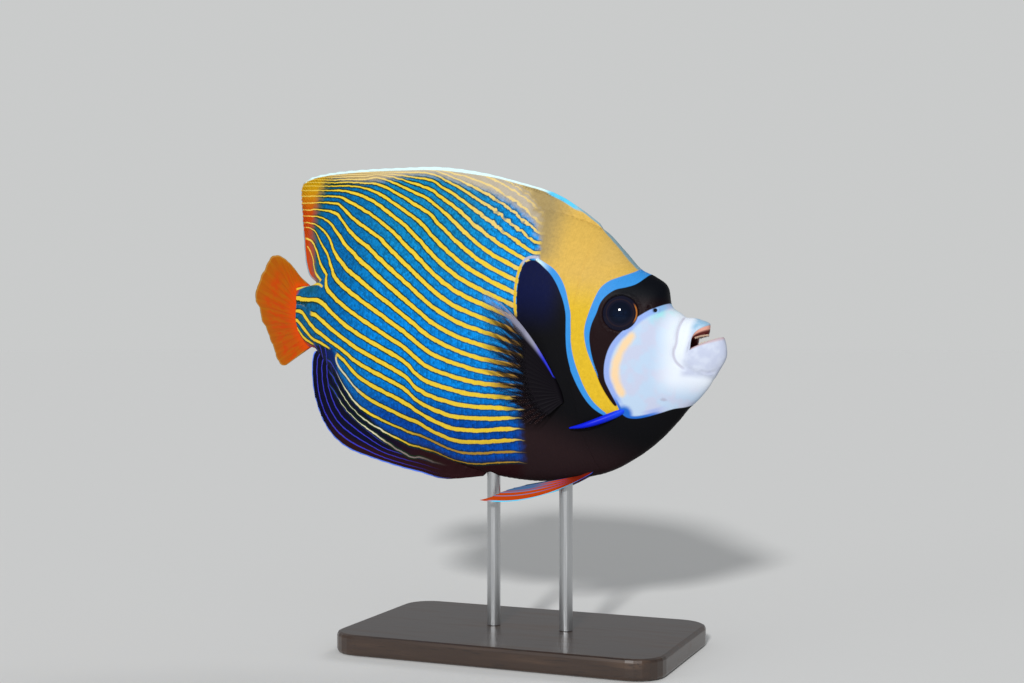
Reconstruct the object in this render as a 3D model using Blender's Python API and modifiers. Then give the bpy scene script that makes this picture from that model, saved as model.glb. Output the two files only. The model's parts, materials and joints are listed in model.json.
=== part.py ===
# Emperor angelfish: a still, life-size model on a plain display stand.
#
# The fish is drawn straight, in millimetres, with its head towards +X, its back towards +Z and its
# right side towards -Y. Each mesh is then bent along the spine, pitched nose down and lifted over the
# stand. The finished objects are in metres, and the origin is the centre of the stand's underside.

import math
from collections import namedtuple

import bmesh
import bpy
import numpy as np
from mathutils import Matrix, Vector
from mathutils.bvhtree import BVHTree

MM = 0.001
GAP = 0.3                  # clearance between pieces that meet

# Pose
PITCH = math.radians(5.0)              # nose down
BEND_START_X = -60.0                   # the tail swings to the left behind this point
BEND_REACH = 80.0                      # length over which the bend builds up
BEND_ANGLE = math.radians(30.0)        # where the bend ends
FISH_ORIGIN = (-15.0, 0.0, 192.0)      # the fish's own origin over the stand's underside

# Stand
BASE_SIZE = (200.0, 120.0, 12.0)
BASE_CORNER = 18.0
BASE_EDGE = 2.0
ROD_RADIUS = 4.0
ROD_FEET = {"stand_rod_front": 27.0, "stand_rod_rear": -19.0}      # X of each rod, on the centre line
ROD_TOP = 112.0                        # inside the belly, which then cuts the rod to length

# Body lattice
RING_POINTS = 21           # from the belly to the back, on each side
HEAD_STEPS, TRUNK_STEPS, TAIL_STEPS = 36, 16, 6          # rings along each length, less one
TRUNK_FRONT_GAP = 0.4      # the trunk's front ring stands this far behind the head
TAIL_FRONT_GAP = 0.025     # the tail's front ring stands this far behind the trunk, in station numbers
RAY_START = 80.0           # lines cast towards the body start this far off it
BESIDE = 25.0              # a place beside the body, wherever it is widest
FLANK_POWER = 2.2          # how full the flank is between its widest point and the edges
OPERCLE_LIFT = 0.9         # the gill cover's free edge stands this proud
LIP_GROOVE = 0.05          # how much the snout narrows behind the lips
LIP_GROOVE_PLACE = 16.33   # station number of that groove
LIP_GROOVE_WIDTH = 0.30    # in station numbers
GAPE_ARCH = (17.2, 18.8)   # station numbers between which the rings take the gape's shape

# Fins
FIN_EDGE_HALF = 0.24       # half thickness of a membrane at the margin
FIN_SKIN_HALF = 0.28       # half thickness of a membrane
SPINE_HALF = 0.55          # what a spine adds to each face at its root
RAY_HALF = 0.38            # what a soft ray adds to each face at its root
FIN_NOTCH = 0.015          # how far the membrane falls short of the rays' tips
FIN_ROWS = (0.0, 0.12, 0.3, 0.5, 0.7, 0.87, 1.0)         # shares of a ray's length
FIN_SWAY, CAUDAL_SWAY = 0.8, 1.6             # how far a fin's margin waves to either side
SWAY_WAVES = 1.6                             # waves along the margin
FIN_OVERLAP = 2            # rings of the tail that carry the ends of the dorsal and anal fins
ANAL_TRUNK_RINGS = 11      # rings of the trunk that carry the anal fin
DORSAL_SPINES, DORSAL_RAYS = 14, 34          # rays in all, of which the first are spines
ANAL_SPINES, ANAL_RAYS = 3, 23
CAUDAL_RAYS = 19
CAUDAL_TOP_ROOT = (-139.5, 14.15)            # where the root starts, on the tail's upper edge
CAUDAL_TOP_RAYS = 2                          # rays that leave from that edge, ahead of the tail's end
STERN_GAP = 0.35                             # clearance at the tail's slanted end
PECTORAL_RAYS = 19
PELVIC_SPINES, PELVIC_RAYS = 1, 6

EYE_PLACE = (79.1, 13.35, 12.7)        # centre: forward, out from the middle plane, up
EYE_RADII = (11.6, 6.5, 11.6)          # along, out, up
EYE_YAW = math.radians(13.0)           # the eye's pole is turned forwards
EYE_LIFT = math.radians(8.0)           # and upwards, as the head's surface lies


# Stations run from the tail's end to the lips and on into the mouth. Each one gives a point on the
# back (x, z), one on the flank (x, z, half width) and one on the belly (x, z), then the half thickness
# of the body's edge at the back and at the belly, and how blunt the curve to each edge is.
Station = namedtuple("Station", "name back flank belly edge blunt")

STATIONS = (
    Station("tail_end", (-150.5, 12.5), (-147, -5, 3.2), (-134, -25), (0.8, 0.8), (0.6, 0.6)),
    Station("tail_mid", (-142, 13.2), (-139, -5, 5.0), (-131, -24.8), (1.0, 1.0), (0.6, 0.6)),
    Station("tail_root", (-131.5, 16), (-130, -5, 6.8), (-126, -26.8), (1.4, 1.4), (0.75, 0.75)),
    Station("rear_fins_end", (-116, 26), (-115, -5, 9.3), (-113, -38), (2.0, 2.0), (0.95, 0.95)),
    Station("rear_flank", (-95, 40.5), (-95, -4, 13.0), (-94, -53), (2.4, 2.4), (1, 1)),
    Station("hind_flank", (-70, 53.5), (-70, -2, 16.8), (-70, -67), (2.8, 2.8), (1, 0.95)),
    Station("mid_flank", (-42, 64), (-42, 0, 20.0), (-42, -78.5), (3.0, 2.8), (1, 0.85)),
    Station("vent", (-12, 69.5), (-12, 1, 22.0), (-12, -87), (3.0, 1.8), (1, 0.7)),
    Station("belly", (15, 71), (13, 1, 22.8), (18, -90.3), (2.6, 1.0), (0.95, 0.6)),
    Station("shoulder", (38, 68), (34, 0, 22.8), (45, -88.3), (1.8, 0.8), (0.85, 0.55)),
    Station("gill", (60, 61), (54, -2, 22.0), (74, -80.3), (0.8, 0.6), (0.7, 0.52)),
    Station("cheek_rear", (74, 49.5), (64, -2, 20.8), (92, -69.2), (0.6, 0.6), (0.58, 0.52)),
    Station("eye", (84.5, 39.6), (75, -3, 19.1), (104.5, -58), (0.6, 0.6), (0.52, 0.52)),
    Station("brow", (94, 35.6), (85, -5, 17.0), (114, -46.5), (0.6, 0.6), (0.52, 0.52)),
    Station("forehead_bump", (101.5, 30.5), (94, -6, 15.2), (120, -38), (0.6, 0.6), (0.5, 0.52)),
    Station("snout_notch", (104.6, 20), (102, -6.5, 13.4), (126, -31.2), (0.6, 0.6), (0.5, 0.52)),
    Station("snout", (111.5, 15.8), (110, -7, 12.0), (131.5, -23.2), (0.6, 0.6), (0.5, 0.52)),
    Station("lip_root", (120.5, 13.7), (117.5, -6.5, 10.8), (135.2, -15.8), (0.6, 0.6), (0.5, 0.5)),
    Station("lip", (126.9, 12.0), (119.3, -4.6, 9.8), (139.2, -6), (0.6, 0.6), (0.5, 0.5)),
    Station("lip_edge", (128.2, 10.0), (120.2, -4.2, 9.0), (136.8, 4.1), (0.6, 0.6), (0.5, 0.5)),
    Station("gum", (127.5, 4.6), (118.4, -3.6, 7.2), (133.3, 1.8), (0.6, 0.6), (0.5, 0.5)),
    Station("mouth", (122.0, 2.8), (116.3, -3.6, 6.0), (128.0, -3.2), (0.6, 0.6), (0.5, 0.5)),
    Station("throat", (115.2, 0.6), (112.3, -3.4, 4.0), (118.8, -6.8), (0.6, 0.6), (0.5, 0.5)),
)
STATION = {station.name: number for number, station in enumerate(STATIONS)}

# Fin margins, in the middle plane, from the fin's front end to its rear end
DORSAL_MARGIN = ((57.5, 64.4), (44.6, 72.5), (28.2, 80.5), (5.4, 86), (-21, 90.8), (-48, 92.7),
                 (-75, 91), (-104, 88.8), (-128.6, 86.4), (-147.3, 83.1), (-155.5, 77.9),
                 (-154.9, 68.8), (-150.4, 49.5), (-145, 30.2), (-139.9, 20.8), (-133.5, 17.2))
ANAL_MARGIN = ((-3, -91.6), (-28, -96.5), (-45, -94.6), (-59, -92.9), (-80.3, -89.2), (-95.2, -86),
               (-107.3, -80.5), (-116.2, -73.3), (-123.1, -64.5), (-128.9, -52.3), (-131.2, -39.7),
               (-130.8, -30.5), (-129, -27.5))
CAUDAL_MARGIN = ((-150.5, 19.8), (-156, 23.2), (-163, 27), (-170, 30), (-176, 31.9), (-181, 32.2),
                 (-185.5, 30.6), (-188.5, 26.5), (-190.5, 22), (-193.6, 18), (-195.2, 13), (-197.8, 9.2),
                 (-198.9, 5), (-198.3, 0.5), (-194.2, -3), (-192.3, -7.5), (-191.2, -12), (-187, -15.5),
                 (-183.4, -20), (-179.6, -25), (-175, -29), (-171, -34), (-166, -37.6), (-160.5, -39.6),
                 (-156, -38.7))

MATERIALS = {
    "striped_skin": ((0.08, 0.30, 0.48, 1), 0.45, 0.0),
    "head_skin": ((0.72, 0.60, 0.30, 1), 0.45, 0.0),
    "fin_skin": ((0.10, 0.28, 0.50, 1), 0.50, 0.0),
    "orange_fin": ((0.85, 0.30, 0.04, 1), 0.50, 0.0),
    "dark_fin": ((0.05, 0.04, 0.08, 1), 0.50, 0.0),
    "eye": ((0.02, 0.02, 0.05, 1), 0.10, 0.0),
    "stand_paint": ((0.05, 0.05, 0.06, 1), 0.50, 0.0),
    "stand_steel": ((0.55, 0.56, 0.58, 1), 0.30, 1.0),
}


def catmull_rom(rows, at):
    """A smooth curve through rows of numbers, read at fractional row numbers."""
    rows = np.asarray(rows, float)
    at = np.asarray(at, float)
    last = len(rows) - 1
    start = np.clip(np.floor(at).astype(int), 0, last - 1)
    f = (at - start)[..., None]
    before, here, after, beyond = (rows[np.clip(start + step, 0, last)] for step in (-1, 0, 1, 2))
    return 0.5 * (2 * here + (after - before) * f
                  + (2 * before - 5 * here + 4 * after - beyond) * f ** 2
                  + (3 * here - before - 3 * after + beyond) * f ** 3)


def along(points, shares):
    """Points at the given shares of the arc length of a smooth curve through the points."""
    fine = catmull_rom(points, np.linspace(0, len(points) - 1, 40 * len(points)))
    run = np.concatenate([[0], np.cumsum(np.linalg.norm(np.diff(fine, axis=0), axis=1))])
    run /= run[-1]
    return np.stack([np.interp(shares, run, fine[:, axis]) for axis in range(fine.shape[1])], -1)


STATION_ROWS = [s.back + s.flank + s.belly + s.edge + s.blunt for s in STATIONS]


def body_ring(place):
    """The right side's points at a station number, from the belly to the back."""
    (back_x, back_z, flank_x, flank_z, half, belly_x, belly_z,
     back_edge, belly_edge, back_blunt, belly_blunt) = catmull_rom(STATION_ROWS, place)
    t = np.sin(np.linspace(-math.pi / 2, math.pi / 2, RING_POINTS))
    upper = t >= 0
    a = np.abs(t)
    arch = np.clip((place - GAPE_ARCH[0]) / (GAPE_ARCH[1] - GAPE_ARCH[0]), 0, 1)
    x = flank_x + (np.where(upper, back_x, belly_x) - flank_x) * a ** 2
    z = flank_z + (np.where(upper, back_z, belly_z) - flank_z) * a ** np.where(upper, 1 - arch / 2,
                                                                              1 + arch * 0.6)
    edge = np.where(upper, back_edge, belly_edge)
    blunt = np.where(upper, back_blunt, belly_blunt)
    y = edge + (half - edge) * np.clip(1 - a ** FLANK_POWER, 0, 1) ** blunt
    lift = np.clip(1 - (place - STATION["gill"]), 0, 1) ** 2 * (place >= STATION["gill"])
    y = y + OPERCLE_LIFT * lift * (1 - a ** 4)
    pinch = 1 - LIP_GROOVE * math.exp(-((place - LIP_GROOVE_PLACE) / LIP_GROOVE_WIDTH) ** 2)
    return np.stack([x, -y * pinch, flank_z + (z - flank_z) * pinch], -1)


def mirrored(points):
    """The left side's twin of points on the right side."""
    return points * np.array([1, -1, 1])


def posed(points):
    """Straight fish, in millimetres, to its pose over the stand, in metres."""
    points = np.asarray(points, float)
    x, y, z = points[..., 0], points[..., 1], points[..., 2]
    run = np.linspace(0, 220, 2201)
    turn = BEND_ANGLE * (1 - np.exp(-(run / BEND_REACH) ** 2))
    middle = (turn[1:] + turn[:-1]) / 2
    step = run[1] - run[0]
    spine_x = np.concatenate([[0], np.cumsum(np.cos(middle) * step)])
    spine_y = np.concatenate([[0], np.cumsum(np.sin(middle) * step)])
    behind = np.maximum(0, BEND_START_X - x)
    angle = np.interp(behind, run, turn)
    bent_x = np.where(x < BEND_START_X, BEND_START_X - np.interp(behind, run, spine_x), x)
    bent_x = bent_x + y * np.sin(angle)
    bent_y = np.interp(behind, run, spine_y) + y * np.cos(angle)
    out = np.stack([bent_x * math.cos(PITCH) + z * math.sin(PITCH), bent_y,
                    z * math.cos(PITCH) - bent_x * math.sin(PITCH)], -1)
    return (out + np.array(FISH_ORIGIN)) * MM


def make_material(name):
    colour, roughness, metallic = MATERIALS[name]
    material = bpy.data.materials.new(name)
    material.use_nodes = True
    shader = material.node_tree.nodes["Principled BSDF"]
    shader.inputs["Base Color"].default_value = colour
    shader.inputs["Roughness"].default_value = roughness
    shader.inputs["Metallic"].default_value = metallic
    return material


def add_object(name, mesh, collection, material=None):
    item = bpy.data.objects.new(name, mesh)
    collection.objects.link(item)
    if material:
        mesh.materials.append(make_material(material))
        mesh.materials[0].name = name + "_" + material
    return item


def mesh_from(name, points, faces):
    """A mesh of posed points, with its faces turned outwards."""
    mesh = bpy.data.meshes.new(name)
    mesh.from_pydata([tuple(p) for p in points], [], faces)
    tidy = bmesh.new()
    tidy.from_mesh(mesh)
    bmesh.ops.recalc_face_normals(tidy, faces=tidy.faces)
    tidy.to_mesh(mesh)
    tidy.free()
    mesh.shade_smooth()
    mesh.set_sharp_from_angle(angle=math.radians(40))
    return mesh


def loft_faces(rings, count):
    """Triangles between closed rings, with the same diagonal on the left and on the right."""
    faces = []
    half = count // 2
    for ring in range(rings - 1):
        for k in range(count):
            a, b = ring * count + k, ring * count + (k + 1) % count
            c, d = b + count, a + count
            if k < half:
                faces += [(a, b, c), (a, c, d)]
            else:
                faces += [(a, b, d), (b, c, d)]
    return faces


def cap_faces(first, count):
    """Strips across one ring, from the belly to the back, each between the two sides."""
    faces = []
    for k in range(count // 2 - 1):
        a, b = first + k, first + k + 1
        c, d = first + count - 2 - k, first + count - 1 - k
        faces += [(a, b, c), (a, c, d)]
    return faces


def rings_between(first, last, steps, front_gap=0.0):
    """The right side's rings from one station number to another, the front one held back a little."""
    rings = [body_ring(place) for place in np.linspace(first, last, steps + 1)]
    rings[-1] = rings[-1] - np.array([front_gap, 0, 0])
    return rings


def body_length(rings):
    """The closed lattice of one length of the body, from the right side's rings."""
    points = np.concatenate([np.concatenate([right, mirrored(right)[::-1]]) for right in rings])
    count = 2 * RING_POINTS
    faces = loft_faces(len(rings), count)
    faces += cap_faces(0, count) + cap_faces(len(points) - count, count)
    return points, faces


def fin_solid(right, left):
    """A thin fin between two like grids of points, split into triangles alike on both faces."""
    rows, columns = right.shape[:2]
    points = np.concatenate([right.reshape(-1, 3), left.reshape(-1, 3)])
    other = rows * columns
    faces = []
    for i in range(rows - 1):
        for j in range(columns - 1):
            a = i * columns + j
            b, c, d = a + 1, a + columns + 1, a + columns
            faces += [(a, b, c), (a, c, d)]
            faces += [(other + a, other + c, other + b), (other + a, other + d, other + c)]
    rim = list(range(columns))
    rim += [i * columns + columns - 1 for i in range(1, rows)]
    rim += [(rows - 1) * columns + j for j in range(columns - 2, -1, -1)]
    rim += [i * columns for i in range(rows - 2, 0, -1)]
    for a, b in zip(rim, rim[1:] + rim[:1]):
        faces += [(a, other + a, b), (b, other + a, other + b)]
    return points, faces


def fin_columns(rays):
    """Shares along the fin for each ray and for the membrane between rays, and which are rays."""
    columns = 2 * rays - 1
    return np.linspace(0, 1, columns), np.arange(columns) % 2 == 0


def fin_half_thickness(root_half, is_ray, spines):
    """Half thickness on the grid: the fleshy root thins out to the membrane, with rays as ridges."""
    height = np.array(FIN_ROWS)[:, None]
    flesh = np.maximum(root_half - FIN_SKIN_HALF, 0)[None, :] * (1 - height) ** 2.2
    skin = FIN_SKIN_HALF + (FIN_EDGE_HALF - FIN_SKIN_HALF) * height
    stout = np.where(np.arange(len(is_ray)) < 2 * spines, SPINE_HALF, RAY_HALF) * is_ray
    ridge = stout[None, :] * (1 - 0.8 * height) * (height > 0)
    return flesh + skin + ridge


def fin_tips(margin, shares, is_ray, foot):
    """Where each ray ends on the margin, with the membrane between them falling a little short."""
    tip = along(margin, shares)
    return tip - (tip - foot) * (FIN_NOTCH * (1 - is_ray))[:, None]


def median_fin(name, root, root_half, margin, rays, spines, material, collection, sway=0.0):
    """A fin in the middle plane, with its rays from the root line to its margin."""
    shares, is_ray = fin_columns(rays)
    foot = np.stack([np.interp(shares, root[:, 0], root[:, k]) for k in (1, 2)], -1)
    foot_half = np.interp(shares, root[:, 0], root_half)
    tip = fin_tips(margin, shares, is_ray, foot)
    height = np.array(FIN_ROWS)[:, None, None]
    flat = foot[None] + (tip - foot)[None] * height
    half = fin_half_thickness(foot_half, is_ray, spines)
    wave = sway * height[..., 0] ** 2 * np.sin(2 * math.pi * SWAY_WAVES * shares)[None, :]
    right = np.stack([flat[..., 0], wave - half, flat[..., 1]], -1)
    left = np.stack([flat[..., 0], wave + half, flat[..., 1]], -1)
    points, faces = fin_solid(right, left)
    return add_object(name, mesh_from(name, posed(points), faces), collection, material)


def edge_line(points_list, index, outward):
    """A line just clear of the body's edge, as rows of share, x, z, and the edge's half thickness."""
    line = np.array([ring[index] for ring in points_list])
    slope = np.gradient(line[:, [0, 2]], axis=0)
    slope /= np.linalg.norm(slope, axis=1)[:, None]
    normal = np.stack([-slope[:, 1], slope[:, 0]], -1) * outward
    clear = line[:, [0, 2]] + normal * GAP
    run = np.concatenate([[0], np.cumsum(np.linalg.norm(np.diff(clear, axis=0), axis=1))])
    return np.column_stack([run / run[-1], clear]), np.abs(line[:, 1])


def stuck_on(tree, point, direction):
    """The point where a line through a point meets the body, lifted off it by the clearance."""
    direction = Vector(direction).normalized()
    hit, normal = tree.ray_cast(Vector(point) - direction * RAY_START, direction)[:2]
    outward = -math.copysign(GAP, normal.dot(direction))
    return np.array(hit + normal * outward)


def paired_fin(name, side, tree, fin, rays, spines, material, collection):
    """A fin on the flank or belly, from a root strip that lies on the body to its rim."""
    shares, is_ray = fin_columns(rays)
    ends = np.array(fin["root"], float)
    foot = ends[0] + (ends[1] - ends[0]) * shares[:, None]
    spread = np.array(fin["spread"], float) * np.sin(math.pi * (0.12 + 0.76 * shares))[:, None]
    outer = np.array([stuck_on(tree, p, fin["towards_body"]) for p in foot + spread])
    inner = np.array([stuck_on(tree, p, fin["towards_body"]) for p in foot - spread])
    tip = fin_tips(fin["rim"], shares, is_ray, (outer + inner) / 2)
    height = np.array(FIN_ROWS)[:, None, None]
    bow = np.array(fin["bow"], float)[None, :] * (1 - shares)[:, None]
    middle = (outer + inner) / 2
    sheet = middle[None] + (tip - middle)[None] * height + bow[None] * 4 * height * (1 - height)
    sheet[..., 1] -= fin["stand_off"] * np.sin(math.pi * height[..., 0]) ** 0.8
    half = fin_half_thickness(np.full(len(shares), fin["root_half"]), is_ray, spines)
    thick = np.array([0, 1, 0]) * half[..., None]
    right = sheet - thick
    left = sheet + thick
    right[0] = outer
    left[0] = inner
    if side > 0:
        right, left = mirrored(right), mirrored(left)
    points, faces = fin_solid(right, left)
    return add_object(name, mesh_from(name, posed(points), faces), collection, material)


PECTORAL = {
    "root": ((45.0, -22, -26.5), (51.5, -22, -40.5)),
    "towards_body": (0, 1, 0),
    "spread": (1.7, 0, 0.3),
    "rim": ((1.9, -36, 21.1), (3.5, -35.5, -2.9), (5.5, -35, -17.2), (9, -34, -28.5),
            (13.5, -32.5, -39.7), (20, -30, -49), (28.5, -27.5, -55.5), (37, -25, -56)),
    "bow": (2.5, 0, 4.5),
    "stand_off": 1.5,
    "root_half": 1.5,
}
PELVIC = {
    "root": ((68.5, -6.5, -84), (61, -5.5, -86)),
    "towards_body": (0, 0.35, 1),
    "spread": (0, -1.3, 0),
    "rim": ((2, -14.5, -104), (6.5, -13.5, -102.3), (11, -12.5, -99.9), (16, -11, -97), (21.5, -9.5, -94.6)),
    "bow": (0, -1.0, -6.5),
    "stand_off": 1.5,
    "root_half": 1.2,
}
CHEEK_SPINE = ((88, -39.5), (84, -43.0), (75, -48.0), (65.5, -52.2), (56.3, -54.8))
CHEEK_SPINE_RADII = (1.2, 2.3, 2.0, 1.5, 0.45)
CHEEK_SPINE_REACH = (-1.6, 0.66, 2.6, 3.5, 2.65)           # of its centre line, off the cheek
TEETH = {
    "upper": (19.9, RING_POINTS - 7, RING_POINTS, 13, (0.2, 0, -0.98)),
    "lower": (19.7, 0, 7, 13, (-0.2, 0, 0.98)),
}
TOOTH_ROOT, TOOTH_LENGTH, TOOTH_RADIUS, TOOTH_TIP = 1.2, 1.0, 0.4, 0.18
NOSTRILS = ((98.7, 16.4, 1.2), (95.2, 17.8, 0.9))          # forward, up, radius
JAW_CUT = ((124.5, 1.0), (122.2, -1.5), (120.9, -3.2), (119.6, -5.4), (116.6, -9.5), (115.6, -14.0),
           (118.5, -24.0), (123.0, -42.0))
JAW_CUT_HALF_WIDTH = 25.0


def ball(centre, radii, segments=16, rings=8):
    """Points and faces of a ball with its poles out to the sides."""
    mesh = bmesh.new()
    bmesh.ops.create_uvsphere(mesh, u_segments=segments, v_segments=rings, radius=1)
    turn = Matrix.Rotation(math.pi / 2, 3, "X")
    points = np.array([turn @ v.co for v in mesh.verts]) * radii + centre
    faces = [[v.index for v in face.verts] for face in mesh.faces]
    mesh.free()
    return points, faces


def eye_ball(side, grow=0.0):
    """An eyeball in its place, its pole turned out as the head's surface lies."""
    inward = np.array([-math.sin(EYE_YAW) * math.cos(EYE_LIFT), math.cos(EYE_YAW) * math.cos(EYE_LIFT),
                       -math.sin(EYE_LIFT)])
    forward = np.array([math.cos(EYE_YAW), math.sin(EYE_YAW), 0.0])
    up = np.cross(forward, inward)
    points, faces = ball(np.zeros(3), np.array(EYE_RADII) + grow)
    right = points @ np.array([forward, inward, up]) + np.array(EYE_PLACE) * np.array([1, -1, 1])
    return right * np.array([1, -side, 1]), faces


def tapered_tube(centres, radii, sides=8):
    """A closed tube along a line of points, with a radius at each."""
    centres = np.asarray(centres, float)
    way = np.gradient(centres, axis=0)
    way /= np.linalg.norm(way, axis=1)[:, None]
    across = np.cross(way, (0, 1, 0))
    across /= np.linalg.norm(across, axis=1)[:, None]
    lift = np.cross(across, way)
    angle = np.arange(sides) * 2 * math.pi / sides
    rings = centres[:, None] + np.array(radii)[:, None, None] * (
        np.cos(angle)[None, :, None] * across[:, None] + np.sin(angle)[None, :, None] * lift[:, None])
    faces = []
    for i in range(len(centres) - 1):
        for k in range(sides):
            a, b = i * sides + k, i * sides + (k + 1) % sides
            faces += [(a, b, b + sides), (a, b + sides, a + sides)]
    faces += [list(range(sides)), list(range((len(centres) - 1) * sides, len(centres) * sides))]
    return rings.reshape(-1, 3), faces


def teeth(place, first, last, count, bite):
    """Small pegs on one jaw, rooted under the surface at a station number and pointing along bite."""
    right = body_ring(place)
    across = np.concatenate([right[first:last], mirrored(right[first:last])[::-1]])
    pegs = []
    for seat in along(across, np.linspace(0, 1, count)):
        root = seat - np.array(bite) * TOOTH_ROOT
        tip = seat + np.array(bite) * TOOTH_LENGTH
        pegs.append(tapered_tube([root, (root + tip) / 2, tip], (TOOTH_RADIUS, TOOTH_RADIUS, TOOTH_TIP), 5))
    return pegs


def slot(path, half_width, thickness):
    """A thin bent wall that runs through the body from side to side, to part it."""
    path = np.array(path, float)
    way = np.gradient(path, axis=0)
    way /= np.linalg.norm(way, axis=1)[:, None]
    normal = np.stack([-way[:, 1], way[:, 0]], -1) * thickness / 2
    outline = np.concatenate([path + normal, (path - normal)[::-1]])
    wall = bmesh.new()
    corners = [wall.verts.new((x, -half_width, z)) for x, z in outline]
    face = wall.faces.new(corners)
    moved = bmesh.ops.extrude_face_region(wall, geom=[face])["geom"]
    bmesh.ops.translate(wall, verts=[v for v in moved if isinstance(v, bmesh.types.BMVert)],
                        vec=(0, 2 * half_width, 0))
    bmesh.ops.triangulate(wall, faces=wall.faces)
    wall.verts.index_update()
    points = np.array([v.co for v in wall.verts])
    faces = [[v.index for v in face.verts] for face in wall.faces]
    wall.free()
    return points, faces


def tool(name, points, faces, collection):
    """A closed shape that cuts or joins another, and isn't part of the model itself."""
    item = add_object(name, mesh_from(name, points, faces), collection)
    item.hide_render = True
    item.display_type = "WIRE"
    return item


def boolean(item, operation, tools):
    """Applies a Boolean with each tool in turn."""
    for other in tools:
        modifier = item.modifiers.new(other.name, "BOOLEAN")
        modifier.operation = operation
        modifier.solver = "EXACT"
        modifier.object = other
    graph = bpy.context.evaluated_depsgraph_get()
    mesh = bpy.data.meshes.new_from_object(item.evaluated_get(graph))
    item.modifiers.clear()
    item.data = mesh


def closed_pieces(mesh):
    """The mesh's separate closed surfaces as lists of vertex numbers, the largest first."""
    work = bmesh.new()
    work.from_mesh(mesh)
    work.verts.ensure_lookup_table()
    seen = set()
    pieces = []
    for start in work.verts:
        if start.index in seen:
            continue
        seen.add(start.index)
        piece = [start.index]
        for number in piece:
            for edge in work.verts[number].link_edges:
                other = edge.other_vert(work.verts[number]).index
                if other not in seen:
                    seen.add(other)
                    piece.append(other)
        pieces.append(piece)
    work.free()
    return sorted(pieces, key=len, reverse=True)


def keep_only(mesh, piece):
    """Removes every vertex that isn't in the piece."""
    kept = set(piece)
    work = bmesh.new()
    work.from_mesh(mesh)
    bmesh.ops.delete(work, geom=[v for v in work.verts if v.index not in kept], context="VERTS")
    work.to_mesh(mesh)
    work.free()


def make_stand(collection, trunk_clearance):
    """A bevelled base and two rods, each cut to length by the belly that it holds."""
    bpy.ops.mesh.primitive_cube_add(size=1, location=(0, 0, BASE_SIZE[2] * MM / 2))
    base = bpy.context.object
    base.name = base.data.name = "stand_base"
    base.data.transform(Matrix.Diagonal([size * MM for size in BASE_SIZE] + [1]))
    corners = base.modifiers.new("corners", "BEVEL")
    corners.width = BASE_CORNER * MM
    corners.segments = 6
    corners.limit_method = "WEIGHT"
    weights = base.data.attributes.new("bevel_weight_edge", "FLOAT", "EDGE")
    for edge in base.data.edges:
        a, b = (base.data.vertices[number].co for number in edge.vertices)
        weights.data[edge.index].value = float(abs(a.z - b.z) > 1e-6)
    edges = base.modifiers.new("edges", "BEVEL")
    edges.width = BASE_EDGE * MM
    edges.segments = 2
    edges.limit_method = "ANGLE"
    edges.angle_limit = math.radians(60)
    move_to(base, collection, "stand_paint")
    for name, x in ROD_FEET.items():
        foot = BASE_SIZE[2] + GAP
        bpy.ops.mesh.primitive_cylinder_add(vertices=24, radius=ROD_RADIUS * MM, depth=(ROD_TOP - foot) * MM,
                                            location=(x * MM, 0, (ROD_TOP + foot) / 2 * MM))
        rod = bpy.context.object
        rod.name = rod.data.name = name
        move_to(rod, collection, "stand_steel")
        cut = rod.modifiers.new("belly", "BOOLEAN")
        cut.operation = "DIFFERENCE"
        cut.object = trunk_clearance


def move_to(item, collection, material):
    for holder in list(item.users_collection):
        holder.objects.unlink(item)
    collection.objects.link(item)
    item.data.materials.append(make_material(material))


def offset_mesh(points, faces, distance):
    """The same lattice, swollen by a distance along its normals."""
    mesh = bpy.data.meshes.new("swollen")
    mesh.from_pydata([tuple(p) for p in points], [], faces)
    work = bmesh.new()
    work.from_mesh(mesh)
    bmesh.ops.recalc_face_normals(work, faces=work.faces)
    work.normal_update()
    out = np.array([v.co + v.normal * distance for v in work.verts])
    work.free()
    bpy.data.meshes.remove(mesh)
    return out


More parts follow.
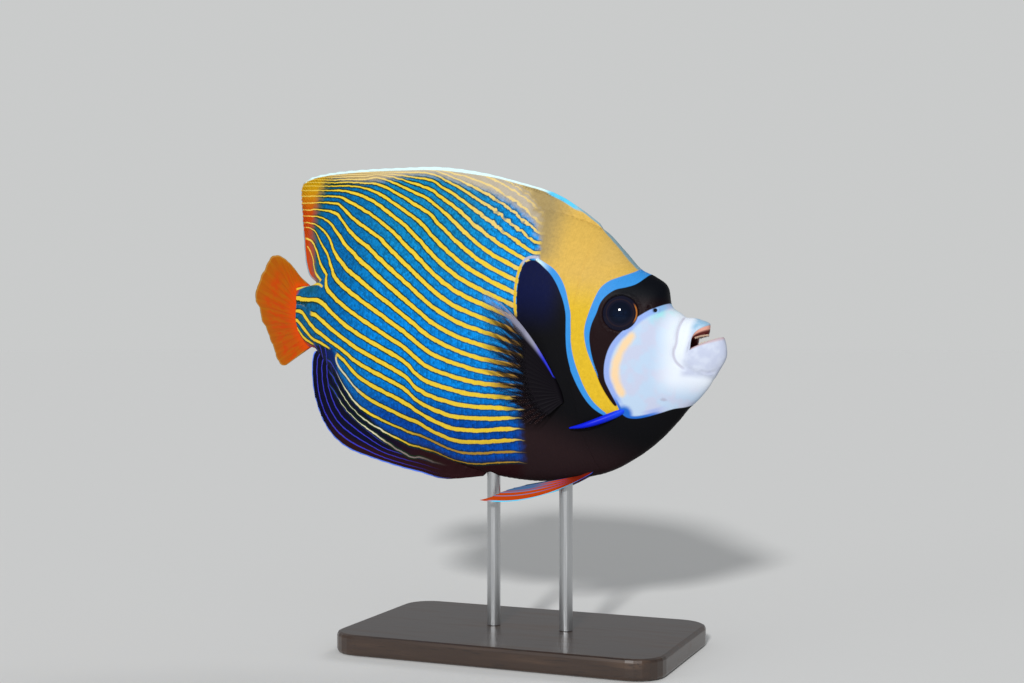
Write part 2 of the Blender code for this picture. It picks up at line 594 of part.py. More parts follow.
def main():
    for item in list(bpy.data.objects):
        bpy.data.objects.remove(item)
    fish = bpy.data.collections.new("emperor_angelfish")
    cutters = bpy.data.collections.new("cutters")
    for collection in (fish, cutters):
        bpy.context.scene.collection.children.link(collection)

    gill = STATION["gill"]
    split = STATION["rear_fins_end"]
    trunk_rings = rings_between(split, gill, TRUNK_STEPS, TRUNK_FRONT_GAP)
    tail_rings = rings_between(0, split - TAIL_FRONT_GAP, TAIL_STEPS)
    head_points, head_faces = body_length(rings_between(gill, len(STATIONS) - 1, HEAD_STEPS))
    trunk_points, trunk_faces = body_length(trunk_rings)
    tail_points, tail_faces = body_length(tail_rings)
    head = add_object("head", mesh_from("head", posed(head_points), head_faces), fish, "head_skin")
    add_object("trunk", mesh_from("trunk", posed(trunk_points), trunk_faces), fish, "striped_skin")
    add_object("tail", mesh_from("tail", posed(tail_points), tail_faces), fish, "striped_skin")
    head_tree = BVHTree.FromPolygons([tuple(p) for p in head_points], head_faces)
    trunk_tree = BVHTree.FromPolygons([tuple(p) for p in trunk_points], trunk_faces)
    both_points = [tuple(p) for p in np.concatenate([head_points, trunk_points])]
    both_faces = head_faces + [tuple(n + len(head_points) for n in face) for face in trunk_faces]
    body_tree = BVHTree.FromPolygons(both_points, both_faces)

    overlap = tail_rings[TAIL_STEPS - FIN_OVERLAP:]
    back, back_half = edge_line((overlap + trunk_rings)[::-1], -1, -1)
    median_fin("dorsal_fin", back, back_half, DORSAL_MARGIN, DORSAL_RAYS, DORSAL_SPINES, "fin_skin", fish,
               FIN_SWAY)
    belly, belly_half = edge_line((overlap + trunk_rings[:ANAL_TRUNK_RINGS])[::-1], 0, 1)
    median_fin("anal_fin", belly, belly_half, ANAL_MARGIN, ANAL_RAYS, ANAL_SPINES, "dark_fin", fish,
               FIN_SWAY)
    end = tail_rings[0][::-1]
    fall = (end[0, 2] - end[:, 2]) / (end[0, 2] - end[-1, 2])
    top_share = CAUDAL_TOP_RAYS / (CAUDAL_RAYS - 1)
    stern = np.column_stack([top_share + (1 - top_share) * fall, end[:, 0] - STERN_GAP, end[:, 2]])
    stern[0, 2] += STERN_GAP
    stern = np.concatenate([[(0,) + CAUDAL_TOP_ROOT], stern])
    stern_half = np.abs(np.concatenate([end[:1, 1], end[:, 1]]))
    median_fin("caudal_fin", stern, stern_half, CAUDAL_MARGIN, CAUDAL_RAYS, 0, "orange_fin", fish,
               CAUDAL_SWAY)

    for side, label in ((-1, "right"), (1, "left")):
        paired_fin("pectoral_fin_" + label, side, trunk_tree, PECTORAL, PECTORAL_RAYS, 0, "dark_fin", fish)
        paired_fin("pelvic_fin_" + label, side, trunk_tree, PELVIC, PELVIC_RAYS, PELVIC_SPINES,
                   "orange_fin", fish)

    grown, cut = [], []
    for side, label in ((-1, "right"), (1, "left")):
        flip = np.array([1, -side, 1])
        points, faces = eye_ball(side)
        add_object("eye_" + label, mesh_from("eye_" + label, posed(points), faces), fish, "eye")
        points, faces = eye_ball(side, GAP)
        cut.append(tool("socket_" + label, posed(points), faces, cutters))
        for number, (x, z, radius) in enumerate(NOSTRILS):
            seat = stuck_on(head_tree, (x, -BESIDE, z), (0, 1, 0)) * flip
            points, faces = ball(seat, np.full(3, radius), 10, 6)
            cut.append(tool("nostril_%d_%s" % (number, label), posed(points), faces, cutters))
        spine = np.array([stuck_on(body_tree, (x, -BESIDE, z), (0, 1, 0)) for x, z in CHEEK_SPINE])
        spine[:, 1] -= CHEEK_SPINE_REACH
        points, faces = tapered_tube(spine * flip, CHEEK_SPINE_RADII)
        grown.append(tool("cheek_spine_" + label, posed(points), faces, cutters))
    for jaw_name, row in TEETH.items():
        for number, (points, faces) in enumerate(teeth(*row)):
            grown.append(tool("tooth_%s_%d" % (jaw_name, number), posed(points), faces, cutters))
    boolean(head, "UNION", grown)
    points, faces = slot(JAW_CUT, JAW_CUT_HALF_WIDTH, GAP)
    cut.append(tool("jaw_slot", posed(points), faces, cutters))
    boolean(head, "DIFFERENCE", cut)
    pieces = closed_pieces(head.data)
    jaw = head.copy()
    jaw.data = head.data.copy()
    jaw.name = jaw.data.name = "lower_jaw"
    fish.objects.link(jaw)
    keep_only(jaw.data, pieces[1])
    keep_only(head.data, pieces[0])
    for item in grown + cut:
        bpy.data.objects.remove(item)

    swollen = offset_mesh(trunk_points, trunk_faces, GAP)
    clearance = tool("trunk_clearance", posed(swollen), trunk_faces, cutters)
    make_stand(fish, clearance)


main()
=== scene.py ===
# Emperor angelfish held over a display base: its skin, scales, fins, eyes and the stand's finish.
# The fish is worked out straight, in millimetres, head towards +X and right side towards -Y, and is
# then bent, pitched and lifted over the stand in the same way as the solids are.
import json
import math

import bpy
import numpy as np
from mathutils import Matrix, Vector
from mathutils.bvhtree import BVHTree

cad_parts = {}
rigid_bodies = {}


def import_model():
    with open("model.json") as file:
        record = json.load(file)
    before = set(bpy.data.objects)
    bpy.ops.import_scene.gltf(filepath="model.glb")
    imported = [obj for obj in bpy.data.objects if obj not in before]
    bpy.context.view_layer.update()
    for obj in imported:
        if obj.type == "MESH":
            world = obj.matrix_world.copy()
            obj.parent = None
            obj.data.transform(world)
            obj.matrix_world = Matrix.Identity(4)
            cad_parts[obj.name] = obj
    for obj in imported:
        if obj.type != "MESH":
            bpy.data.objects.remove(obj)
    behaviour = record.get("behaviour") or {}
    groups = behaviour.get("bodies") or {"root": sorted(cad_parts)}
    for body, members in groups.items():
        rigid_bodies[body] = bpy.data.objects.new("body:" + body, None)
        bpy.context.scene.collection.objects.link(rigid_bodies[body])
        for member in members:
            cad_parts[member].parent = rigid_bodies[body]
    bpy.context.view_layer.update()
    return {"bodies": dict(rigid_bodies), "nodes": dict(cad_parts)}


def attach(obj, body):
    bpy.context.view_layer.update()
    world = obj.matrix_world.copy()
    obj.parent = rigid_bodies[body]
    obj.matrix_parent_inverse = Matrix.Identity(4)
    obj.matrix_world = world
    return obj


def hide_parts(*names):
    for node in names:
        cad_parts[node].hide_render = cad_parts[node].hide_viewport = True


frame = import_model()
scene = bpy.context.scene
rootBody = next(iter(frame["bodies"]))
print("frame loaded,", len(frame["nodes"]), "nodes")

mm = 0.001
bothSides = ((-1, "right"), (1, "left"))
pose = {
    "pitch": math.radians(5.0),          # nose down
    "bendStart": -60.0,                  # behind this the tail swings to the left
    "bendReach": 80.0,
    "bendAngle": math.radians(30.0),
    "origin": (-15.0, 0.0, 192.0),
    "run": np.linspace(0, 220, 2201),    # steps along the spine behind the bend's start
}


# points of the straight fish in mm -> posed points in metres: the spine is the running sum of the
# cosine and sine of its turn, and a point rides across it at its own y
def posed(points):
    x, y, z = np.moveaxis(np.asarray(points, float), -1, 0)
    run, start = pose["run"], pose["bendStart"]
    turn = pose["bendAngle"] * (1 - np.exp(-(run / pose["bendReach"]) ** 2))
    middle = (turn[1:] + turn[:-1]) / 2
    step = run[1] - run[0]
    spineX, spineY = (np.concatenate([[0], np.cumsum(way(middle) * step)]) for way in (np.cos, np.sin))
    behind = np.maximum(0, start - x)
    angle = np.interp(behind, run, turn)
    bentX = np.where(x < start, start - np.interp(behind, run, spineX), x) + y * np.sin(angle)
    bentY = np.interp(behind, run, spineY) + y * np.cos(angle)
    c, s = math.cos(pose["pitch"]), math.sin(pose["pitch"])
    return (np.stack([bentX * c + z * s, bentY, z * c - bentX * s], -1) + pose["origin"]) * mm


# smooth curve through rows of numbers, read at fractional row numbers (Catmull-Rom)
def smoothCurve(rows, at):
    rows, at = np.asarray(rows, float), np.asarray(at, float)
    last = len(rows) - 1
    start = np.clip(np.floor(at).astype(int), 0, last - 1)
    f = (at - start)[..., None]
    before, here, after, beyond = (rows[np.clip(start + k, 0, last)] for k in (-1, 0, 1, 2))
    return 0.5 * (2 * here + (after - before) * f
                  + (2 * before - 5 * here + 4 * after - beyond) * f ** 2
                  + (3 * here - before - 3 * after + beyond) * f ** 3)


def refined(points, perSpan=5):          # the same curve as a dense line
    return smoothCurve(points, np.linspace(0, len(points) - 1, perSpan * (len(points) - 1) + 1))


def runAlong(line):                      # length from the start at each point, as shares of the whole
    run = np.concatenate([[0], np.cumsum(np.linalg.norm(np.diff(line, axis=0), axis=1))])
    return run / run[-1]


def alongCurve(points, shares):          # points at shares of the curve's length
    fine = refined(points, 40)
    run = runAlong(fine)
    return np.stack([np.interp(shares, run, fine[:, k]) for k in range(fine.shape[1])], -1)


def smoothStep(value, low, high):        # 3t^2 - 2t^3 at the share t of the way from low to high
    t = np.clip((value - low) / (high - low), 0, 1)
    return t * t * (3 - 2 * t)


def unit(vectors):                       # the same directions at length 1
    return vectors / np.maximum(np.linalg.norm(vectors, axis=-1, keepdims=True), 1e-9)


# a grid of values read at fractional rows and columns, straight between its own points
def between(field, rows, columns):
    i = np.clip(rows.astype(int), 0, field.shape[0] - 2)
    j = np.clip(columns.astype(int), 0, field.shape[1] - 2)
    u, v = rows - i, columns - j
    if field.ndim > 2:
        u, v = u[..., None], v[..., None]
    return ((field[i, j] * (1 - u) + field[i + 1, j] * u) * (1 - v)
            + (field[i, j + 1] * (1 - u) + field[i + 1, j + 1] * u) * v)


# the body, as stations from the tail's end to the throat: back x z, flank x z half width, belly x z,
# half thickness of the edge at back and belly, bluntness at back and belly
body = {
    "stations": (
        (-150.5, 12.5, -147, -5, 3.2, -134, -25, 0.8, 0.8, 0.6, 0.6),
        (-142, 13.2, -139, -5, 5.0, -131, -24.8, 1.0, 1.0, 0.6, 0.6),
        (-131.5, 16, -130, -5, 6.8, -126, -26.8, 1.4, 1.4, 0.75, 0.75),
        (-116, 26, -115, -5, 9.3, -113, -38, 2.0, 2.0, 0.95, 0.95),
        (-95, 40.5, -95, -4, 13.0, -94, -53, 2.4, 2.4, 1, 1),
        (-70, 53.5, -70, -2, 16.8, -70, -67, 2.8, 2.8, 1, 0.95),
        (-42, 64, -42, 0, 20.0, -42, -78.5, 3.0, 2.8, 1, 0.85),
        (-12, 69.5, -12, 1, 22.0, -12, -87, 3.0, 1.8, 1, 0.7),
        (15, 71, 13, 1, 22.8, 18, -90.3, 2.6, 1.0, 0.95, 0.6),
        (38, 68, 34, 0, 22.8, 45, -88.3, 1.8, 0.8, 0.85, 0.55),
        (60, 61, 54, -2, 22.0, 74, -80.3, 0.8, 0.6, 0.7, 0.52),          # gill cover's edge
        (74, 49.5, 64, -2, 20.8, 92, -69.2, 0.6, 0.6, 0.58, 0.52),
        (84.5, 39.6, 75, -3, 19.1, 104.5, -58, 0.6, 0.6, 0.52, 0.52),    # eye
        (94, 35.6, 85, -5, 17.0, 114, -46.5, 0.6, 0.6, 0.52, 0.52),
        (101.5, 30.5, 94, -6, 15.2, 120, -38, 0.6, 0.6, 0.5, 0.52),      # forehead bump
        (104.6, 20, 102, -6.5, 13.4, 126, -31.2, 0.6, 0.6, 0.5, 0.52),
        (111.5, 15.8, 110, -7, 12.0, 131.5, -23.2, 0.6, 0.6, 0.5, 0.52),
        (120.5, 13.7, 117.5, -6.5, 10.8, 135.2, -15.8, 0.6, 0.6, 0.5, 0.5),
        (126.9, 12.0, 119.3, -4.6, 9.8, 139.2, -6, 0.6, 0.6, 0.5, 0.5),  # lips
        (128.2, 10.0, 120.2, -4.2, 9.0, 136.8, 4.1, 0.6, 0.6, 0.5, 0.5),
        (127.5, 4.6, 118.4, -3.6, 7.2, 133.3, 1.8, 0.6, 0.6, 0.5, 0.5),  # gums
        (122.0, 2.8, 116.3, -3.6, 6.0, 128.0, -3.2, 0.6, 0.6, 0.5, 0.5),
        (115.2, 0.6, 112.3, -3.4, 4.0, 118.8, -6.8, 0.6, 0.6, 0.5, 0.5),
    ),
    "gill": 10.0,                        # station number of the gill cover's edge
    "gape": (17.2, 18.8),                # stations over which the mouth opens
    "reliefEnd": (18.3, 17.6),           # stations between which the head's relief fades out
    "mouthFrom": (18.6, 19.6),           # and the mouth's inner skin starts
    "flankPower": 2.2, "gillLift": 0.9,
    "lipGroove": (0.05, 16.33, 0.30),    # depth, station number, width
    "rowCount": 97,                      # from the belly to the back
    "ringPitch": 1.12, "headPitch": 0.72,    # mm between rings on the trunk and the head
}


# right side of the body: at a station number, t runs from -1 on the belly to 1 on the back, x and z
# go from the flank's point to the edge's by powers of |t|, y falls off as (1 - |t|^2.2)^bluntness
def bodySheet(places, t):
    row = smoothCurve(body["stations"], places)
    backX, backZ, flankX, flankZ, half, bellyX, bellyZ, backEdge, bellyEdge, backBlunt, bellyBlunt = (
        row[:, k, None] for k in range(11))
    place = np.asarray(places, float)[:, None]
    upper, a = t[None] >= 0, np.abs(t)[None]
    gapeStart, gapeEnd = body["gape"]
    arch = np.clip((place - gapeStart) / (gapeEnd - gapeStart), 0, 1)
    power = np.where(upper, 1 - arch / 2, 1 + arch * 0.6)
    x = flankX + (np.where(upper, backX, bellyX) - flankX) * a ** 2
    z = flankZ + (np.where(upper, backZ, bellyZ) - flankZ) * a ** power
    edge = np.where(upper, backEdge, bellyEdge)
    blunt = np.where(upper, backBlunt, bellyBlunt)
    y = edge + (half - edge) * np.clip(1 - a ** body["flankPower"], 0, 1) ** blunt
    lift = np.clip(1 - (place - body["gill"]), 0, 1) ** 2 * (place >= body["gill"])
    y = y + body["gillLift"] * lift * (1 - a ** 4)
    depth, at, width = body["lipGroove"]
    pinch = 1 - depth * np.exp(-((place - at) / width) ** 2)
    return np.stack([x, -y * pinch, flankZ + (z - flankZ) * pinch], -1)


# station numbers from first to last whose rings lie about a pitch apart on the back, flank and belly
def evenPlaces(first, last, pitch):
    fine = np.linspace(first, last, 400)
    row = smoothCurve(body["stations"], fine)
    steps = sum(np.hypot(np.diff(row[:, a]), np.diff(row[:, b])) for a, b in ((0, 1), (2, 3), (5, 6))) / 3
    run = np.concatenate([[0], np.cumsum(steps)])
    return np.interp(np.linspace(0, run[-1], int(run[-1] / pitch) + 2), run, fine)


fins = {
    "edgeHalf": 0.24, "skinHalf": 0.28, "spineHalf": 0.55, "rayHalf": 0.38,
    "sway": 0.8, "waves": 1.6,           # how far the margin waves, mm, and how often
    "notch": 0.012, "rayWidth": 0.42, "rayThinning": 0.75,
    "rootStart": 1.983,                  # station number where the dorsal and anal fins end at the tail
    "analFront": 7.375,                  # and where the anal fin starts
    "dorsal": {"rays": 34, "spines": 14, "rows": 42,
               "margin": ((57.5, 64.4), (44.6, 72.5), (28.2, 80.5), (5.4, 86), (-21, 90.8), (-48, 92.7),
                          (-75, 91), (-104, 88.8), (-128.6, 86.4), (-147.3, 83.1), (-155.5, 77.9),
                          (-154.9, 68.8), (-150.4, 49.5), (-145, 30.2), (-139.9, 20.8), (-133.5, 17.2))},
    "anal": {"rays": 23, "spines": 3, "rows": 38,
             "margin": ((-3, -91.6), (-28, -96.5), (-45, -94.6), (-59, -92.9), (-80.3, -89.2), (-95.2, -86),
                        (-107.3, -80.5), (-116.2, -73.3), (-123.1, -64.5), (-128.9, -52.3), (-131.2, -39.7),
                        (-130.8, -30.5), (-129, -27.5))},
}

# key stripes by number: their heights z at the columns' x, on the straight fish's side, in mm
stripes = {
    "columns": (-145, -138, -130, -124, -118, -110, -100, -85, -55, -45, -35, -20, -5, 10, 24),
    23: (88, 88.5, 89, 89.5, 90, 90.5, 91, 91.8, 92.5, 92.3, 91.5, 89.5, 84, 76.5, 67),
    20: (85, 85.3, 85.6, 86, 86.5, 87, 87.3, 88, 88.6, 85.6, 81.5, 74.2, 66.8, 58, 50),
    17: (82, 82, 82, 82, 82.3, 82.8, 83, 83.6, 73.3, 67.3, 61.3, 51.6, 43, 36.6, 31.5),
    14: (75, 75.2, 75.3, 75.4, 75.5, 74.7, 72.7, 66.2, 48.1, 41.1, 34.3, 25.8, 20, 14.8, 10),
    11: (62.5, 63, 62.6, 61.8, 60, 52.7, 45.2, 37.5, 19.6, 13.3, 7.2, 0.5, -3.5, -6.7, -10),
    9: (54.3, 53.2, 49.7, 44.9, 36.1, 29.7, 24.5, 17.2, 0.6, -5.2, -10.9, -16.1, -19.5, -21.3, -22.5),
    7: (44, 40.7, 28.5, 22.5, 13.7, 8.6, 3.3, -4, -17.5, -23.9, -29, -32.3, -34.5, -34.6, -34),
    6: (5.4, 5, 5.3, 5.3, 3.3, -1.4, -7, -14.1, -26, -33.2, -37.6, -40.4, -41.8, -41.5, -41.2),
    5: (1.5, 1, -3.2, -4.2, -7, -11.2, -16, -23.1, -34.5, -41.7, -45.5, -48.4, -48.9, -48.1, -47.5),
    4: (-2.7, -3.8, -9.6, -13.2, -15.7, -19.6, -23.9, -31.7, -42.6, -49.2, -53.1, -56.3, -56, -54.3, -52.3),
    3: (-9, -12.6, -18.2, -20.5, -21.8, -24.5, -29.4, -40.7, -51.4, -55.8, -60, -63.7, -63.3, -61, -58.8),
    2: (-14, -19.5, -22.3, -24, -26, -28, -38.2, -50.6, -60.7, -63, -67.1, -71, -70.5, -68, -65.6),
    1: (-19, -24, -27, -29, -31, -34, -49.3, -60.7, -69.4, -70.9, -73.5, -77.6, -77.5, -74.7, -72.9),
    0: (-24, -28, -31, -33, -36, -43.5, -55.5, -66.3, -77.3, -78.8, -80.3, -83.9, -84.1, -81.1, -79.1),
    -1: (-30, -33, -36, -39, -44, -51, -61, -70.5, -84.6, -85.2, -87, -88.5, -88.5, -86.5, -84.5),
}
# edges that two markings share, x and z in mm
shared = {
    "patchUp": ((70, -43), (65.5, -39), (61, -33), (57, -26), (53.8, -19), (51.5, -11), (50.3, -3), (49.7, 4),
                (49, 10), (47, 16.5), (44, 22.5), (40.5, 28), (36.5, 32.5), (32, 36), (28, 38.8)),
    "goldDown": ((27, 41.2), (31, 39.3), (36, 36.8), (40, 34), (44, 29.5), (47, 24.5), (49.5, 18), (51.8, 11),
                 (52.6, 4), (53.5, -3), (54.8, -10), (57, -17), (60, -24), (63.5, -31), (68, -37.5),
                 (73, -42), (77, -44.8)),
    "goldUp": ((65.5, -14.5), (62.7, -8), (61, -1), (61, 5), (62.5, 12.5), (64.5, 20), (67, 26.5), (71, 30.8),
               (76, 33.5)),
    "maskUp": ((69.8, -21), (67, -14.5), (65, -8), (64, -1.5), (64.5, 5), (66.7, 12), (68.2, 18), (71, 22.5),
               (75.5, 26.3), (81.5, 28.3), (86.5, 30.8), (91, 35.8), (94, 41)),
    "faceUp": ((77.5, -31), (74.5, -25), (73.7, -18), (74.5, -11), (76.5, -5), (80, 0.5), (85, 6), (89, 11),
               (94.5, 15.5), (99, 18)),
}
# closed outlines of the markings
marks = {
    "dark": ((21, 38.5), (19, 36), (18, 31), (17.8, 25), (18, 18), (18.8, 12), (19.6, 6), (20.5, -1),
             (22, -10), (23, -22), (24, -40), (25, -60), (26, -80), (24, -100), (70, -100), (120, -70),
             (128, -43), (121, -34), (113, -36), (105, -39), (97, -42), (90, -43.5), (84, -43.5),
             (79, -46), (75, -45.5), *shared["patchUp"], (24, 39.6), (21, 38.5)),
    "gold": ((0, 100), (4, 88), (11, 80), (17, 73), (22, 66), (25, 58), (27, 50), (27.5, 44),
             *shared["goldDown"], (80, -44.8), (83.6, -42), (81, -39), (77, -34), (72.5, -27), (69, -21),
             *shared["goldUp"], (82, 36.7), (85.5, 39), (92, 50), (60, 90), (30, 110), (0, 100)),
    "rearBlue": (*shared["goldDown"], (75.5, -45.8), *shared["patchUp"], (26, 40), (27, 41.2)),
    "maskBlue": ((86.5, 43), (84.5, 38.4), (81, 36), *shared["goldUp"][::-1], (68.5, -20.5), (71.5, -25.7),
                 *shared["maskUp"], (86.5, 43)),
    "mask": (*shared["maskUp"][::-1], (72.5, -27), (77, -34), (81.6, -39.2), *shared["faceUp"], (104, 20.5),
             (112, 27), (106, 40), (94, 41)),
    "face": ((104.5, 21), *shared["faceUp"][::-1], (82, -38.5), (84.5, -43), (88, -45.6), (93, -45.8),
             (99, -44.2), (106, -41.4), (113, -38.4), (121, -36.2), (130, -31), (150, -15), (150, 15),
             (125, 25), (108, 26), (104.5, 21)),
    "cream": ((-135, 86), (-128, 83.5), (-115, 82.6), (-100, 82), (-88, 83), (-75, 85.5), (-62, 87.5),
              (-50, 87.5), (-38, 85), (-26, 82.5), (-12, 79), (0, 74.5), (8, 70), (16, 65), (22, 60),
              (25, 55), (40, 58), (40, 100), (-60, 105), (-135, 100), (-135, 86)),
    "orangeRear": ((-120, 92), (-125, 84), (-132, 78), (-136, 70), (-138, 60), (-139.5, 50), (-139, 42),
                   (-137.5, 34), (-136.5, 27), (-135, 22), (-132.8, 19.5), (-133.2, 17.9), (-138, 17.6),
                   (-175, 30), (-175, 100), (-130, 100), (-120, 92)),
    "orangeTail": ((-128, -23.5), (-134, -22), (-139, -19), (-144, -15), (-148, -9.5), (-150.5, -3),
                   (-150.5, 4), (-148, 8), (-146, 12), (-141, 15.8), (-160, 26), (-180, 0), (-150, -40),
                   (-128, -28), (-128, -23.5)),
    "analDark": ((-140, -26), (-128, -24), (-120, -23), (-112, -23.2), (-107.5, -26), (-106, -31),
                 (-105.5, -38), (-102, -44.5), (-97, -51), (-90, -58), (-80, -65.5), (-72, -71.5), (-62, -79),
                 (-50, -83.5), (-35, -86), (-15, -88.5), (5, -88.5), (20, -84), (24, -100), (-60, -110),
                 (-150, -100), (-160, -40), (-140, -26)),
}
markLines = {
    "freeStripe": ((-152, 10.5), (-147, 11.8), (-142, 13.6), (-136, 15), (-129, 15.5), (-125.5, 15),
                   (-122.8, 14.2)),
    "notchStripe": ((-144.5, 39), (-141, 36), (-138, 31.5), (-136.3, 27), (-134.5, 23), (-131, 20),
                    (-127.5, 17.8)),
    "loopNose": ((-99, -30), (-101, -28.8), (-103, -27.7), (-104.6, -27.9), (-105.4, -30), (-105, -32.5),
                 (-103.4, -35), (-101, -37.4)),
    "crescent": ((87.5, 1), (83.5, -6), (81, -13), (80, -20), (81.5, -26.5), (84.5, -32)),
    "patchRim": ((27.6, 41.3), (25, 41.6), (22.2, 41.1), (19.4, 39.2), (17.6, 35), (16.8, 30), (16.6, 24),
                 (16.9, 17), (17.8, 11), (19, 6.5)),
    "napeEdge": ((57.5, 64.4), (66, 57), (74, 49.5), (79, 44.5), (84.5, 39.6)),
    "jawFold": ((113.6, 13), (112.6, 8.8), (112.2, 4), (112.4, -1), (111.4, -5.5), (111.8, -9),
                (113.8, -12.2), (117.5, -15)),
    "chinFold": ((127.5, -15.6), (130.5, -16.2), (134, -15.2)),
    "cheekEdge": ((66, 2), (65.5, -8), (67.5, -18), (71.5, -28), (77, -36), (83, -42), (90, -45)),
    "dorsalMargin": fins["dorsal"]["margin"],
    "analMargin": fins["anal"]["margin"],
}
grid = {"x": np.arange(-208, 150, 0.5), "z": np.arange(-114, 104, 0.5), "step": 0.5}
gridX, gridZ = np.meshgrid(grid["x"], grid["z"], indexing="ij")


def readField(field, x, z):              # a field on the grid, at points (x, z)
    return between(field, *(np.clip((value - line[0]) / grid["step"], 0, len(line) - 1.001)
                            for value, line in ((x, grid["x"]), (z, grid["z"]))))


# distance in mm from points (x, z) to a line of points
def lineDistance(x, z, line):
    best = np.full(np.shape(x), 1e9)
    for (ax, az), (bx, bz) in zip(line[:-1], line[1:]):
        dx, dz = bx - ax, bz - az
        share = np.clip(((x - ax) * dx + (z - az) * dz) / (dx * dx + dz * dz + 1e-12), 0, 1)
        best = np.minimum(best, (x - ax - share * dx) ** 2 + (z - az - share * dz) ** 2)
    return np.sqrt(best)


# distance to a closed outline, positive inside: the sign from counting crossings of each side
def insideField(outline, reach=9.0):
    line = refined(outline)
    cut = tuple(slice(*np.searchsorted(grid[axis], (line[:, k].min() - reach, line[:, k].max() + reach)))
                for k, axis in enumerate("xz"))
    x, z = gridX[cut], gridZ[cut]
    inside = np.zeros(x.shape, bool)
    for (ax, az), (bx, bz) in zip(line[:-1], line[1:]):
        crossing = (az > z) != (bz > z)
        inside ^= crossing & (x < ax + (bx - ax) * (z - az) / (bz - az if bz != az else 1e-9))
    distance = lineDistance(x, z, line)
    field = np.full(gridX.shape, -reach)
    field[cut] = np.clip(np.where(inside, distance, -distance), -reach, reach)
    return field


# stripe numbers over the grid: the key stripes' heights as smooth curves along x and across the
# stripes, turned round in each column to give the number at a height
def stripeField():
    numbers = sorted(k for k in stripes if k != "columns")
    heights = np.array([stripes[n] for n in numbers], float)
    heights = np.vstack([heights[0] - 8, heights, heights[-1] + 5])
    numbers = np.array([numbers[0] - 1] + numbers + [numbers[-1] + 2], float)
    at = np.linspace(0, len(stripes["columns"]) - 1, 600)
    columnX = smoothCurve(np.array(stripes["columns"])[:, None], at)[:, 0]
    along = smoothCurve(heights.T, at)
    across = np.linspace(0, len(numbers) - 1, 500)
    fineNumbers = smoothCurve(numbers[:, None], across)[:, 0]
    field = np.zeros(gridX.shape)
    columns = np.stack([np.interp(grid["x"], columnX, along[:, k]) for k in range(len(numbers))], -1)
    for i, column in enumerate(columns):
        z = np.maximum.accumulate(smoothCurve(column[:, None], across)[:, 0])
        field[i] = np.interp(grid["z"], z + np.arange(len(z)) * 1e-6, fineNumbers)
    return field


# how strongly each stripe shows, 0 to 1: stripes with an end of their own start or stop there
def stripeStrength(number):
    strength = np.where(number < -1, 0.0, 1.0)
    for chosen, shown in (
            (number == 5, smoothStep(gridX, -130, -128.2)),
            (number == 3, 1 - smoothStep(gridX, -112, -110) * smoothStep(gridX, -103.6, -104.8)),
            (number == 2, 1 - smoothStep(gridX, -129, -127) * smoothStep(gridX, -103, -104.6)),
            (number < 2, smoothStep(gridX, -117, -111)),
            (number < 0, 1 - smoothStep(gridX, -58, -24))):
        strength *= np.where(chosen, shown, 1)
    return strength


fields = {name: insideField(outline) for name, outline in marks.items()}
for name, line in markLines.items():
    fields[name] = lineDistance(gridX, gridZ, refined(line))
fields["stripe"] = stripeField()
fields["strength"] = stripeStrength(np.round(fields["stripe"]))
slope = np.hypot(*np.gradient(fields["stripe"], grid["step"]))
fields["gap"] = np.clip(1 / np.maximum(slope, 0.02), 2, 40)      # mm from one stripe to the next
for name, others in (("freeStripe", ("notchStripe", "loopNose")), ("dorsalMargin", ("napeEdge",))):
    for other in others:
        fields[name] = np.minimum(fields[name], fields[other])
print("markings laid out")

markSets = {                             # attributes that carry the fields, three in each
    "markA": ("stripe", "strength", "freeStripe"),
    "markB": ("dark", "gold", "rearBlue"),
    "markC": ("maskBlue", "mask", "face"),
    "markD": ("cream", "orangeRear", "orangeTail"),
    "markE": ("analDark", "dorsalMargin", "analMargin"),
    "markF": ("crescent", "patchRim", "gap"),
    "markG": ("jawFold", "chinFold", "cheekEdge"),
}
eye = {
    "centre": (79.1, -13.35, 12.7),      # of the right ball
    "radii": (11.6, 6.5, 11.6),          # along, out, up
    "yaw": math.radians(13.0),           # turned forwards and upwards, as the head's surface lies
    "lift": math.radians(8.0),
    "seen": (80.0, 13.2),                # middle of the part that shows
    "lid": 9.9,                          # radius of the socket's rim
    "segments": 72, "rings": 36,
}
nostrils = ((98.7, 16.4, 1.3), (95.2, 17.8, 0.95))       # x, z, radius
spots = {"smudge": (107.5, -33.5), "cheekCorner": (86.5, -43.5), "finRoot": (72.0, -46.0)}       # x, z


